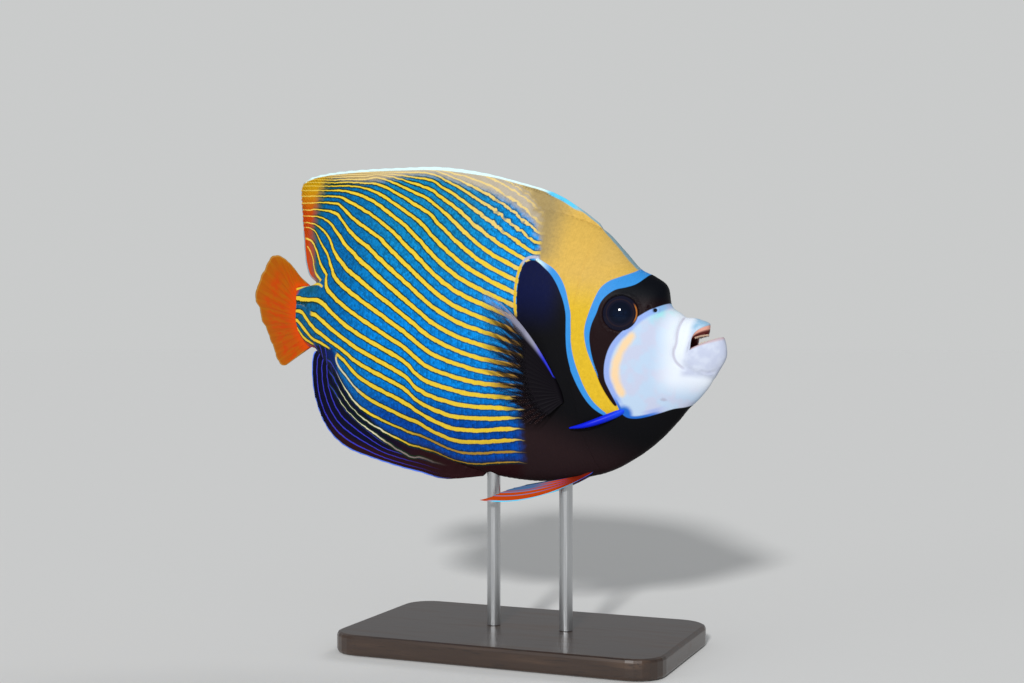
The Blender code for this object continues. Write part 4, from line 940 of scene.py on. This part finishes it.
# scales on tail, flank and head, then on the fins: none over eye and nostrils, smaller on the face and
# towards the fins' margins, flatter in front
def makeCoat():
    right = sheets["body"]
    gillRing, lastRing = (int(np.searchsorted(places, place)) for place in (body["gill"], coat["headTo"]))
    waist = gillRing // 2
    regions = (("tail", 0, waist + 1, coat["bodyPitch"]), ("flank", waist, gillRing, coat["bodyPitch"]),
               ("head", gillRing, lastRing, coat["headPitch"]))
    bare, seam, start = coat["bareEdge"], coat["seam"], places > fins["rootStart"]
    clearLow = np.where(start & (places < fins["analFront"]), seam, bare)
    clearHigh = np.where(start & (places < body["gill"]), seam, bare)
    total = 0
    for name, first, last, pitch in regions:
        sheet = right[first:last]
        at = scatter(sheet, pitch, body["rowCount"] // 2, clearLow[first:last], clearHigh[first:last])
        x, _, z = between(sheet, *at.T[:2]).T
        clear = np.hypot(x - eye["seen"][0], z - eye["seen"][1]) > eye["lid"] + 1.2
        for nx, nz, radius in nostrils:
            clear &= np.hypot(x - nx, z - nz) > radius * 1.9
        at, x, z = at[clear], x[clear], z[clear]
        size = 1 - 0.45 * smoothStep(readField(fields["face"], x, z), -1, 3) * (name == "head")
        raised = 1 - coat["flatter"] * smoothStep(x, *coat["flatterFrom"])
        for side, label in bothSides:
            total += makeScales("scales_%s_%s" % (name, label), sheet, at, pitch, size, 0 * size, side,
                                raised)
    for name in ("dorsal", "anal"):
        sheet = sheets[name]
        near = np.full(len(sheet), seam)
        at = scatter(sheet, coat["finPitch"], 0, near, near)
        x, _, z = between(sheet, *at.T[:2]).T
        away = readField(fields[name + "Margin"], x, z)
        at, away = at[away > coat["margin"]], away[away > coat["margin"]]
        size = 0.62 + 0.38 * smoothStep(away, 1, 14)
        outwards = 0.8 * smoothStep(at[:, 1] / sheet.shape[1], 0.0, 0.6)
        for side, label in bothSides:
            total += makeScales("scales_%s_%s" % (name, label), sheet, at, coat["finPitch"], size, outwards,
                                side, 1.0)
    print("scales:", total)


makeCoat()


# a free fin of two sheets, with ray number and share of the height kept for its material
def makeFin(name, node, rightSheet, leftSheet, rays, material, flip=False):
    columns, rows = rightSheet.shape[:2]
    count = columns * rows
    faces = sewnFaces(gridFaces(np.arange(count).reshape(columns, rows), flip), count)
    flat = np.concatenate([rightSheet.reshape(-1, 3), leftSheet.reshape(-1, 3)])
    piece = makePiece(name, flat, faces, material)
    ray, height = np.meshgrid(np.linspace(0, rays - 1, columns), np.linspace(0, 1, rows), indexing="ij")
    place = np.stack([ray, height, np.zeros(ray.shape)], -1).reshape(-1, 3)
    addVectors(piece.data, "finPlace", np.concatenate([place, place]))
    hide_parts(node)


split = {"first": 0.2, "second": 0.1, "ridgeWidth": 0.13}        # how far rays part, in gaps between rays


# ridges of soft rays over the columns and rows of a fin: each ray splits in two part of the way out,
# and again near the rim
def rayRidges(ray, height, splits):
    apart = ray - np.round(ray)
    first = split["first"] * smoothStep(height, splits[0], 1.0)
    second = split["second"] * smoothStep(height, splits[1], 1.0)
    return np.max([bell(apart - way * first - again * second, split["ridgeWidth"])
                   for way in (-1, 1) for again in (-1, 1)], axis=0)


# how near a place on a fin is to the middle of a ray, 1 on it, with the rays split as in the mesh
def rayTint(ray, height, splits, width):
    apart = ray - ray.math("ROUND")
    first = height.step(splits[0], 1.0) * split["first"]
    second = height.step(splits[1], 1.0) * split["second"]
    nearest = None
    for way in (-1, 1):
        for again in (-1, 1):
            near = abs(apart - first * way - second * again).step(width, width * 0.3)
            nearest = nearest | near if nearest else near
    return nearest


caudal = {
    "rays": 19, "columnsPerRay": 8, "rows": 40, "splits": (0.22, 0.6), "sway": 1.6, "ridge": 0.2,
    "topRoot": (-139.5, 14.0), "topRays": 2,     # where the root starts, and the rays ahead of the tail's end
    "rootStation": 0.12, "rootThin": 0.86, "notch": 0.5,
    "margin": ((-150.5, 19.8), (-156, 23.2), (-163, 27), (-170, 30), (-176, 31.9), (-181, 32.2),
               (-185.5, 30.6), (-188.5, 26.5), (-190.5, 22), (-193.6, 18), (-195.2, 13), (-197.8, 9.2),
               (-198.9, 5), (-198.3, 0.5), (-194.2, -3), (-192.3, -7.5), (-191.2, -12), (-187, -15.5),
               (-183.4, -20), (-179.6, -25), (-175, -29), (-171, -34), (-166, -37.6), (-160.5, -39.6),
               (-156, -38.7)),
}
paint.update(
    tailRed=(0.49, 0.040, 0.001), tailOrange=(0.38, 0.100, 0.001), tailRoot=(0.60, 0.058, 0.001),
    tailTop=(0.30, 0.085, 0.001), tailRim=(0.34, 0.11, 0.002), tailRay=(0.34, 0.030, 0.001),
    tailEdge=(0.42, 0.22, 0.04))


# tail fin: red and orange streaks along the rays, brighter at the root, browner at the rim, pale edge
def caudalFinish():
    tap, feed = newMaterial("tailFin", Roughness=0.55, Specular_IOR_Level=0.05)
    ray, height, _ = tap.attribute("finPlace").parts()
    z = tap.attribute("flatPlace").parts()[2]
    streak = tap.vector(ray, height * 2.2).noise(1.7, 3.0, 0.6)
    tint = rayTint(ray, height, caudal["splits"], 0.15)
    lastRay = caudal["rays"] - 1
    edge = height.step(0.95, 0.975) | ray.step(0.22, 0.06) | ray.step(lastRay - 0.22, lastRay - 0.06)
    colour = layered(
        blend("tailRed", "tailOrange", streak.step(0.25, 0.75)),
        ("tailRoot", height.step(0.34, 0.05)),
        ("tailTop", z.step(8, 30) * 0.6),
        ("tailRim", height.step(0.62, 0.97) * 0.75),
        ("tailRay", tint * height.step(0.04, 0.2) * streak.step(0.3, 0.7) * 0.4),
        ("tailEdge", edge * height.step(0.15, 0.3) * 0.7))
    return feed(Base_Color=colour, Normal=streak.bump(0.3))


# tail fin: from the tail's end to the margin, each point at its share of the way; the fleshy root thins
# out to a membrane with branching rays
def makeCaudal():
    lastRay = caudal["rays"] - 1
    columns = lastRay * caudal["columnsPerRay"] + 1
    share = np.linspace(0, 1, columns)
    t = np.sin(np.linspace(math.pi / 2, -math.pi / 2, columns))
    end = bodySheet(np.array([caudal["rootStation"]]), t)[0]
    rise = (end[0, 2] - end[:, 2]) / (end[0, 2] - end[-1, 2])
    topShare = caudal["topRays"] / lastRay
    below = np.clip((share - topShare) / (1 - topShare), 0, 1)
    along = np.clip(share / topShare, 0, 1)[:, None]
    foot = np.stack([np.interp(below, rise, end[:, k]) for k in (0, 2)], -1)
    foot = np.array(caudal["topRoot"]) + (foot - caudal["topRoot"]) * along
    footHalf = np.interp(below, rise, np.abs(end[:, 1])) * caudal["rootThin"]
    ray = share * lastRay
    margin = alongCurve(caudal["margin"], share)
    tip = margin - unit(margin - foot) * (caudal["notch"] * offRay(ray) ** 2)[:, None]
    h = np.linspace(0, 1, caudal["rows"])[None]
    flat = foot[:, None] + (tip - foot)[:, None] * h[..., None]
    ridge = caudal["ridge"] * rayRidges(ray[:, None], h, caudal["splits"]) * (1 - fins["rayThinning"] * h)
    half = finHalf(footHalf, h, 2.6) + ridge * smoothStep(h, 0, 0.1)
    right, left = finSides(flat, half, caudal["sway"], share, h)
    makeFin("caudalFin", "caudal_fin", right, left, caudal["rays"], caudalFinish(), True)


pectoral = {
    "name": "pectoral", "rays": 19, "columnsPerRay": 8, "rows": 44, "splits": (0.4, 0.75), "ridge": 0.26,
    "root": ((45.0, -22, -26.5), (51.5, -22, -40.5)), "towardsBody": (0, 1, 0), "spread": (1.7, 0, 0.3),
    "rim": ((1.9, -36, 21.1), (3.5, -35.5, -2.9), (5.5, -35, -17.2), (9, -34, -28.5), (13.5, -32.5, -39.7),
            (20, -30, -49), (28.5, -27.5, -55.5), (37, -25, -56)),
    "bow": (2.5, 0, 4.5), "standOff": 1.5, "rootHalf": 1.5, "notch": 0.9,
}
pelvic = {
    "name": "pelvic", "rays": 6, "columnsPerRay": 14, "rows": 44, "splits": (0.35, 0.7), "ridge": 0.4,
    "root": ((68.5, -6.5, -84), (61, -5.5, -86)), "towardsBody": (0, 0.35, 1), "spread": (0, -1.3, 0),
    "rim": ((2, -14.5, -104), (6.5, -13.5, -102.3), (11, -12.5, -99.9), (16, -11, -97), (21.5, -9.5, -94.6)),
    "bow": (0, -1.0, -6.5), "standOff": 1.5, "rootHalf": 1.2, "notch": 1.6,
}
pairedFins = {"skinHalf": 0.2, "sunk": -0.25}
paint.update(
    sideDark=(0.005, 0.004, 0.006), sideBrown=(0.045, 0.016, 0.012), sideBlue=(0.03, 0.04, 0.60),
    sidePale=(0.26, 0.26, 0.35),
    bellyRoot=(0.16, 0.012, 0.004), bellyRed=(0.40, 0.045, 0.002), bellyInner=(0.006, 0.12, 0.26),
    bellyLineRoot=(0.03, 0.04, 0.36), bellyLine=(0.02, 0.22, 0.45),
    bellySpineRoot=(0.01, 0.09, 0.50), bellySpine=(0.08, 0.55, 0.80))


# side fin: clear membrane with fine brown rays that thicken at the dark root, pale blue front edge
def pectoralFinish():
    tap, feed = newMaterial("sideFin", Roughness=0.5, Specular_IOR_Level=0.03)
    ray, height, _ = tap.attribute("finPlace").parts()
    tint = rayTint(ray, height, pectoral["splits"], 0.24)
    front = ray.step(2.2, 0.6)
    colour = layered(
        blend("sideDark", "sideBrown", height.step(0.5, 0.75) * (1.0 - tint)),
        (blend("sideBlue", "sidePale", height.step(0.16, 0.36)), front))
    rays = tint * (height.step(1.1, 0.4) * 0.85)
    membrane = (height.step(0.75, 0.3) * 0.6 + 0.06) | height.step(0.58, 0.42)
    return feed(Base_Color=colour, Alpha=rays | membrane | (front * height.step(0.80, 0.52) * 0.8))


# belly fin: red from a dark root, blue lines on its inner rays, blue-green behind, blue front spine
def pelvicFinish():
    tap, feed = newMaterial("bellyFin", Roughness=0.55, Specular_IOR_Level=0.02)
    ray, height, _ = tap.attribute("finPlace").parts()
    colour = layered(
        blend("bellyRoot", "bellyRed", height.step(0.08, 0.4)),
        (blend("bellyLineRoot", "bellyLine", height.step(0.2, 0.6)),
         ray.offWhole().step(0.11, 0.05) * ray.step(1.5, 1.6) * height.step(0.15, 0.3)),
        ("bellyInner", ray.step(2.6, 3.8) * height.step(0.35, 0.7) * 0.85),
        (blend("bellySpineRoot", "bellySpine", height.step(0.05, 0.3)),
         ray.step(0.42, 0.30) * height.step(0.97, 0.85)))
    return feed(Base_Color=colour)


def bodyTree():                          # the right flank and head as a surface to set pieces on
    sheet = sheets["body"]
    index = np.arange(sheet[..., 0].size).reshape(sheet.shape[:2])
    return BVHTree.FromPolygons(sheet.reshape(-1, 3).tolist(), gridFaces(index).tolist())


def seated(tree, points, direction, off):        # where lines through points meet the body, off it
    way = Vector(direction).normalized()
    found = []
    for point in points:
        hit, normal = tree.ray_cast(Vector(point) - way * 80, way)[:2]
        found.append(hit + (normal if normal.dot(way) < 0 else -normal) * off)
    return np.array(found)


# a fin on the flank or belly: from two lines sunk a little into the body, bowed and standing off,
# to its rim; the membrane falls short between the rays
def makePairedFins(fin, tree, material):
    share = np.linspace(0, 1, (fin["rays"] - 1) * fin["columnsPerRay"] + 1)
    ends = np.array(fin["root"], float)
    foot = ends[0] + (ends[1] - ends[0]) * share[:, None]
    spread = np.array(fin["spread"], float) * np.sin(math.pi * (0.12 + 0.76 * share))[:, None]
    outer, inner = (seated(tree, line, fin["towardsBody"], pairedFins["sunk"])
                    for line in (foot + spread, foot - spread))
    middle = (outer + inner) / 2
    ray = share * (fin["rays"] - 1)
    rim = alongCurve(fin["rim"], share)
    tip = rim - unit(rim - middle) * (fin["notch"] * offRay(ray) ** 1.5)[:, None]
    h = np.linspace(0, 1, fin["rows"])[None]
    bow = np.array(fin["bow"], float) * (1 - share)[:, None, None]
    sheet = middle[:, None] + (tip - middle)[:, None] * h[..., None] + bow * (4 * h * (1 - h))[..., None]
    sheet[..., 1] -= fin["standOff"] * np.sin(math.pi * h) ** 0.8
    ridge = fin["ridge"] * rayRidges(ray[:, None], h, fin["splits"]) * (1 - 0.8 * h) * smoothStep(h, 0, 0.1)
    skinHalf = pairedFins["skinHalf"]
    half = (fin["rootHalf"] - skinHalf) * (1 - h) ** 6 + skinHalf + ridge
    right, left = (sheet + np.stack([0 * half, side * half, 0 * half], -1) for side in (-1, 1))
    right[:, 0], left[:, 0] = outer, inner
    mirror = (1, -1, 1)
    for label, near, far in (("right", right, left), ("left", left * mirror, right * mirror)):
        makeFin("%sFin_%s" % (fin["name"], label), "%s_fin_%s" % (fin["name"], label), near, far, fin["rays"],
                material)


# triangles of rings of points one after the other, closed at both ends by a point of their own
def ringFaces(rings, sides):
    k = np.arange(sides)
    after = (k + 1) % sides
    first = np.arange(rings - 1)[:, None] * sides
    a, b, last = (first + k).ravel(), (first + after).ravel(), (rings - 1) * sides
    start, end = np.full(sides, rings * sides), np.full(sides, rings * sides + 1)
    return np.concatenate([np.stack(corners, -1) for corners in (
        (a, b, b + sides), (a, b + sides, a + sides), (after, k, start), (last + k, last + after, end))])


# closed tube of rings along a line with a radius at each point, its ends drawn to a point
def tube(centres, radii, sides):
    way = unit(np.gradient(centres, axis=0))
    across = unit(np.cross(way, (0.0, 1.0, 0.0)))
    angle = (np.arange(sides) * 2 * math.pi / sides)[None, :, None]
    rings = centres[:, None] + radii[:, None, None] * (
        np.cos(angle) * across[:, None] + np.sin(angle) * np.cross(across, way)[:, None])
    return np.concatenate([rings.reshape(-1, 3), centres[:1], centres[-1:]]), ringFaces(len(centres), sides)


spine = {
    "line": ((88, -39.5), (84, -43.0), (75, -48.0), (65.5, -52.2), (56.3, -54.8)),
    "radii": (1.0, 1.9, 2.1, 1.5, 0.45),
    "reach": (-2.6, -0.8, 2.2, 3.5, 2.65),       # centre line off the cheek, mm
}
teeth = {                                # rows: station, range of t's angle, way the pegs point
    "count": 34, "root": 1.2, "length": 1.0, "radius": 0.27,
    "upper": (19.9, math.radians(36), math.radians(90), (0.2, 0, -0.98)),
    "lower": (19.7, math.radians(-90), math.radians(-36), (-0.2, 0, 0.98)),
}
paint.update(
    spineTip=(0.001, 0.010, 0.62), spineRoot=(0.004, 0.06, 0.80), spineShade=(0.01, 0.03, 0.30),
    toothDull=(0.62, 0.40, 0.26), tooth=(0.70, 0.54, 0.42),
    pupil=(0.002, 0.004, 0.012), iris=(0.006, 0.006, 0.016), eyeGlow=(0.006, 0.020, 0.060),
    irisRing=(0.030, 0.016, 0.014), irisRim=(0.60, 0.20, 0.03))


# cheek spine: deep blue with soft clouds, lighter towards the root
def spineFinish():
    tap, feed = newMaterial("spineSkin", Roughness=0.4, Specular_IOR_Level=0.15)
    place = tap.attribute("flatPlace")
    colour = layered(
        blend("spineTip", "spineRoot", place.parts()[0].step(74, 88)),
        ("spineShade", (place.noise(0.7, 3.0) - 0.5) * 1.2))
    return feed(Base_Color=colour, Normal=place.noise(1.2).bump(0.2))


# cheek spine: a tube that leaves the gill cover's corner and tapers to a free point
def makeSpines(tree):
    at = np.linspace(0, len(spine["line"]) - 1, 25)
    line = smoothCurve(spine["line"], at)
    radii, reach = (smoothCurve(np.array(spine[name])[:, None], at)[:, 0] for name in ("radii", "reach"))
    seat = seated(tree, np.insert(line, 1, -25.0, axis=1), (0, 1, 0), 0)
    seat[:, 1] = smoothCurve(seat[::6], at)[:, 1] - reach
    makePair("cheekSpine", "fish_skin", *tube(seat, np.maximum(radii, 0.3), 16), spineFinish())


# teeth: cream with a fine grain
def toothFinish():
    tap, feed = newMaterial("tooth", Roughness=0.25, Coat_Weight=0.3)
    return feed(Base_Color=blend("toothDull", "tooth", tap.objectPlace().noise(900.0)))


# brush teeth: fine pegs along each jaw from one corner to the other
def makeTeeth():
    points, faces, count = [], [], 0
    for place, low, high, bite in (teeth["upper"], teeth["lower"]):
        right = bodySheet(np.array([place]), np.sin(np.linspace(low, high, 30)))[0]
        order = right if low > 0 else right[::-1]
        across = np.concatenate([order, (order * (1, -1, 1))[::-1]])
        for seat in alongCurve(across, np.linspace(0, 1, teeth["count"])):
            reach = teeth["length"] * random.uniform(0.8, 1.1)
            lean = (random.normal(0, 0.05), random.normal(0, 0.05), 0)
            line = seat + unit(np.array(bite) + lean) * np.linspace(-teeth["root"], reach, 5)[:, None]
            pegPoints, pegFaces = tube(line, teeth["radius"] * np.array([1, 1, 1, 0.8, 0.3]), 6)
            points.append(pegPoints)
            faces.append(pegFaces + count)
            count += len(pegPoints)
    makePiece("teeth", np.concatenate(points), np.concatenate(faces), toothFinish())


# eye: near black pupil and iris with a faint painted blue reflection low in the pupil, and an orange ring in
# front
def eyeFinish():
    tap, feed = newMaterial("eyeGlass", Roughness=0.05, Specular_IOR_Level=0.12)
    place = tap.attribute("ballPlace")
    forward, up, _ = place.parts()
    radius = (forward * forward + up * up).math("SQRT")
    front = forward.step(0.50, 0.72) * up.step(-0.50, -0.2) * up.step(0.60, 0.3)
    return feed(Base_Color=layered(
        blend("pupil", "iris", radius.step(0.50, 0.58)),
        # painted reflection: faint mottled blue low in the pupil
        ("eyeGlow", (place.noise(9.0, 3.0) - 0.3) * radius.step(0.55, 0.1) * up.step(0.35, -0.2)),
        ("irisRing", radius.step(0.62, 0.66) * radius.step(0.72, 0.68) * 0.4),
        ("irisRim", radius.step(0.76, 0.79) * radius.step(0.86, 0.82) * front * 0.8)))


# eyeball: a flattened ball, its pole turned out as the head's surface lies
def makeEyes():
    rings = eye["rings"]
    polar = np.linspace(0, math.pi, rings + 1)[1:-1, None]
    turn = np.linspace(0, 2 * math.pi, eye["segments"] + 1)[None, :-1]
    wide = np.sin(polar)
    ball = np.stack([wide * np.cos(turn), -np.cos(polar) + 0 * turn, wide * np.sin(turn)], -1)
    ball = np.concatenate([ball.reshape(-1, 3), [(0, -1, 0)], [(0, 1, 0)]])
    yaw, lift = eye["yaw"], eye["lift"]
    inwards = np.array([-math.sin(yaw) * math.cos(lift), math.cos(yaw) * math.cos(lift), -math.sin(lift)])
    forward = np.array([math.cos(yaw), math.sin(yaw), 0.0])
    points = (ball * eye["radii"]) @ np.stack([forward, inwards, np.cross(forward, inwards)]) + eye["centre"]
    pair = makePair("eyeball", "eye", points, ringFaces(rings - 1, eye["segments"]), eyeFinish())
    for piece, (_, label) in zip(pair, bothSides):
        addVectors(piece.data, "ballPlace", ball[:, [0, 2, 1]] * (1, 1, -1))
        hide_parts("eye_" + label)


flankTree = bodyTree()
makeCaudal()
makePairedFins(pectoral, flankTree, pectoralFinish())
makePairedFins(pelvic, flankTree, pelvicFinish())
makeSpines(flankTree)
makeTeeth()
makeEyes()
print("fins, spines, teeth and eyes made")

paint.update(wood=(0.030, 0.016, 0.010), woodLight=(0.075, 0.040, 0.022), woodPore=(0.014, 0.008, 0.006),
             steelDark=(0.42, 0.43, 0.44), steel=(0.62, 0.63, 0.64))


# dark stained wood: long grain along the base, fine pores and a satin lacquer
def woodFinish():
    tap, feed = newMaterial("stainedWood", Coat_Weight=0.35, Coat_Roughness=0.12)
    place = tap.objectPlace()
    rings = place.scaled(7.0, 55.0, 90.0).noise(1.4, 3.0, 0.55)
    pores = place.scaled(60.0, 900.0, 900.0).noise(1.0, 2.0, 0.6)
    bands = (rings * 9.0).math("SINE") * 0.5 + 0.5
    colour = layered(blend("wood", "woodLight", bands), ("woodPore", pores.step(0.56, 0.68) * 0.7))
    return feed(Base_Color=colour, Normal=pores.bump(0.25), Roughness=0.36 + bands * 0.12)


def steelFinish():                       # brushed along the rod
    tap, feed = newMaterial("brushedSteel", Metallic=1.0)
    streaks = tap.objectPlace().scaled(2600.0, 2600.0, 30.0).noise(1.0)
    return feed(Base_Color=blend("steelDark", "steel", streaks), Normal=streaks.bump(0.15, 0.0001),
                Roughness=0.24 + streaks * 0.2)


steel = steelFinish()
for nodeName, finish in (("stand_base", woodFinish()), ("stand_rod_front", steel), ("stand_rod_rear", steel)):
    holder = frame["nodes"][nodeName].data.materials
    holder.clear()
    holder.append(finish)
print("stand finished")

# camera: the photograph's side view, from the right and a little in front
view = {"target": (-0.00724, 0.0, 0.1821), "distance": 0.85, "azimuth": math.radians(22.0), "lens": 50.0,
        "sensor": 36.0, "clip": (0.01, 100.0)}


# level with its target, back along the azimuth by the distance
def makeCamera():
    data = bpy.data.cameras.new("camera")
    data.lens, data.sensor_width = view["lens"], view["sensor"]
    data.clip_start, data.clip_end = view["clip"]
    camera = bpy.data.objects.new("camera", data)
    scene.collection.objects.link(camera)
    back = Vector((math.sin(view["azimuth"]), -math.cos(view["azimuth"]), 0.0))
    camera.location = Vector(view["target"]) + back * view["distance"]
    camera.rotation_euler = (-back).to_track_quat("-Z", "Y").to_euler()
    scene.camera = camera


studio = {
    "floor": (0.74, 0.74, 0.73, 1), "radius": 30.0, "corners": 96, "drop": 0.0002,
    "sky": (0.94, 0.97, 1.0, 1), "strength": 0.34,       # the world as light
    "seen": (0.588, 0.597, 0.595, 1),                    # the world as the camera sees it, as the far floor
    "lights": {                                          # way to the light, width in degrees, strength
        "key": ((0.30, -2.2, 0.98), 6.0, 2.75),
        "fill": ((-1.6, -1.8, 0.3), 30.0, 0.40),
        "back": ((0.3, 2.0, 1.6), 25.0, 0.5),
    },
}


# a round pale floor, three soft suns, and a world that lights the fish but shows the camera its own grey
def makeStudio():
    mesh = bpy.data.meshes.new("floor")
    corners, radius = studio["corners"], studio["radius"]
    around = np.linspace(0, 2 * math.pi, corners + 1)[:-1]
    points = np.stack([radius * np.cos(around), radius * np.sin(around), 0 * around - studio["drop"]], -1)
    mesh.from_pydata(points.tolist(), [], [list(range(corners))])
    floor = bpy.data.objects.new("floor", mesh)
    scene.collection.objects.link(floor)
    _, feed = newMaterial("paleFloor", Roughness=0.9, Specular_IOR_Level=0.0, Base_Color=studio["floor"])
    mesh.materials.append(feed())
    world = bpy.data.worlds.new("studio")
    world.use_nodes = True
    tree = world.node_tree
    sky = tree.nodes["Background"]
    sky.inputs[0].default_value, sky.inputs[1].default_value = studio["sky"], studio["strength"]
    tap = Tap(tree, sky.outputs[0])
    cameraRay = tap.node("ShaderNodeLightPath", {}, {}, "Is Camera Ray")
    seen = tap.node("ShaderNodeBackground", {}, {0: studio["seen"]})
    both = tap.node("ShaderNodeMixShader", {}, {0: cameraRay, 1: tap, 2: seen})
    tree.links.new(both.socket, tree.nodes["World Output"].inputs[0])
    scene.world = world
    for name, (place, width, strength) in studio["lights"].items():
        data = bpy.data.lights.new(name, "SUN")
        data.angle, data.energy = math.radians(width), strength
        light = bpy.data.objects.new(name, data)
        light.location = place
        light.visible_glossy = name == "key"
        light.rotation_euler = Vector(place).to_track_quat("Z", "Y").to_euler()
        scene.collection.objects.link(light)


makeCamera()
makeStudio()
scene.view_settings.view_transform = "Standard"
print("camera and lights ready")
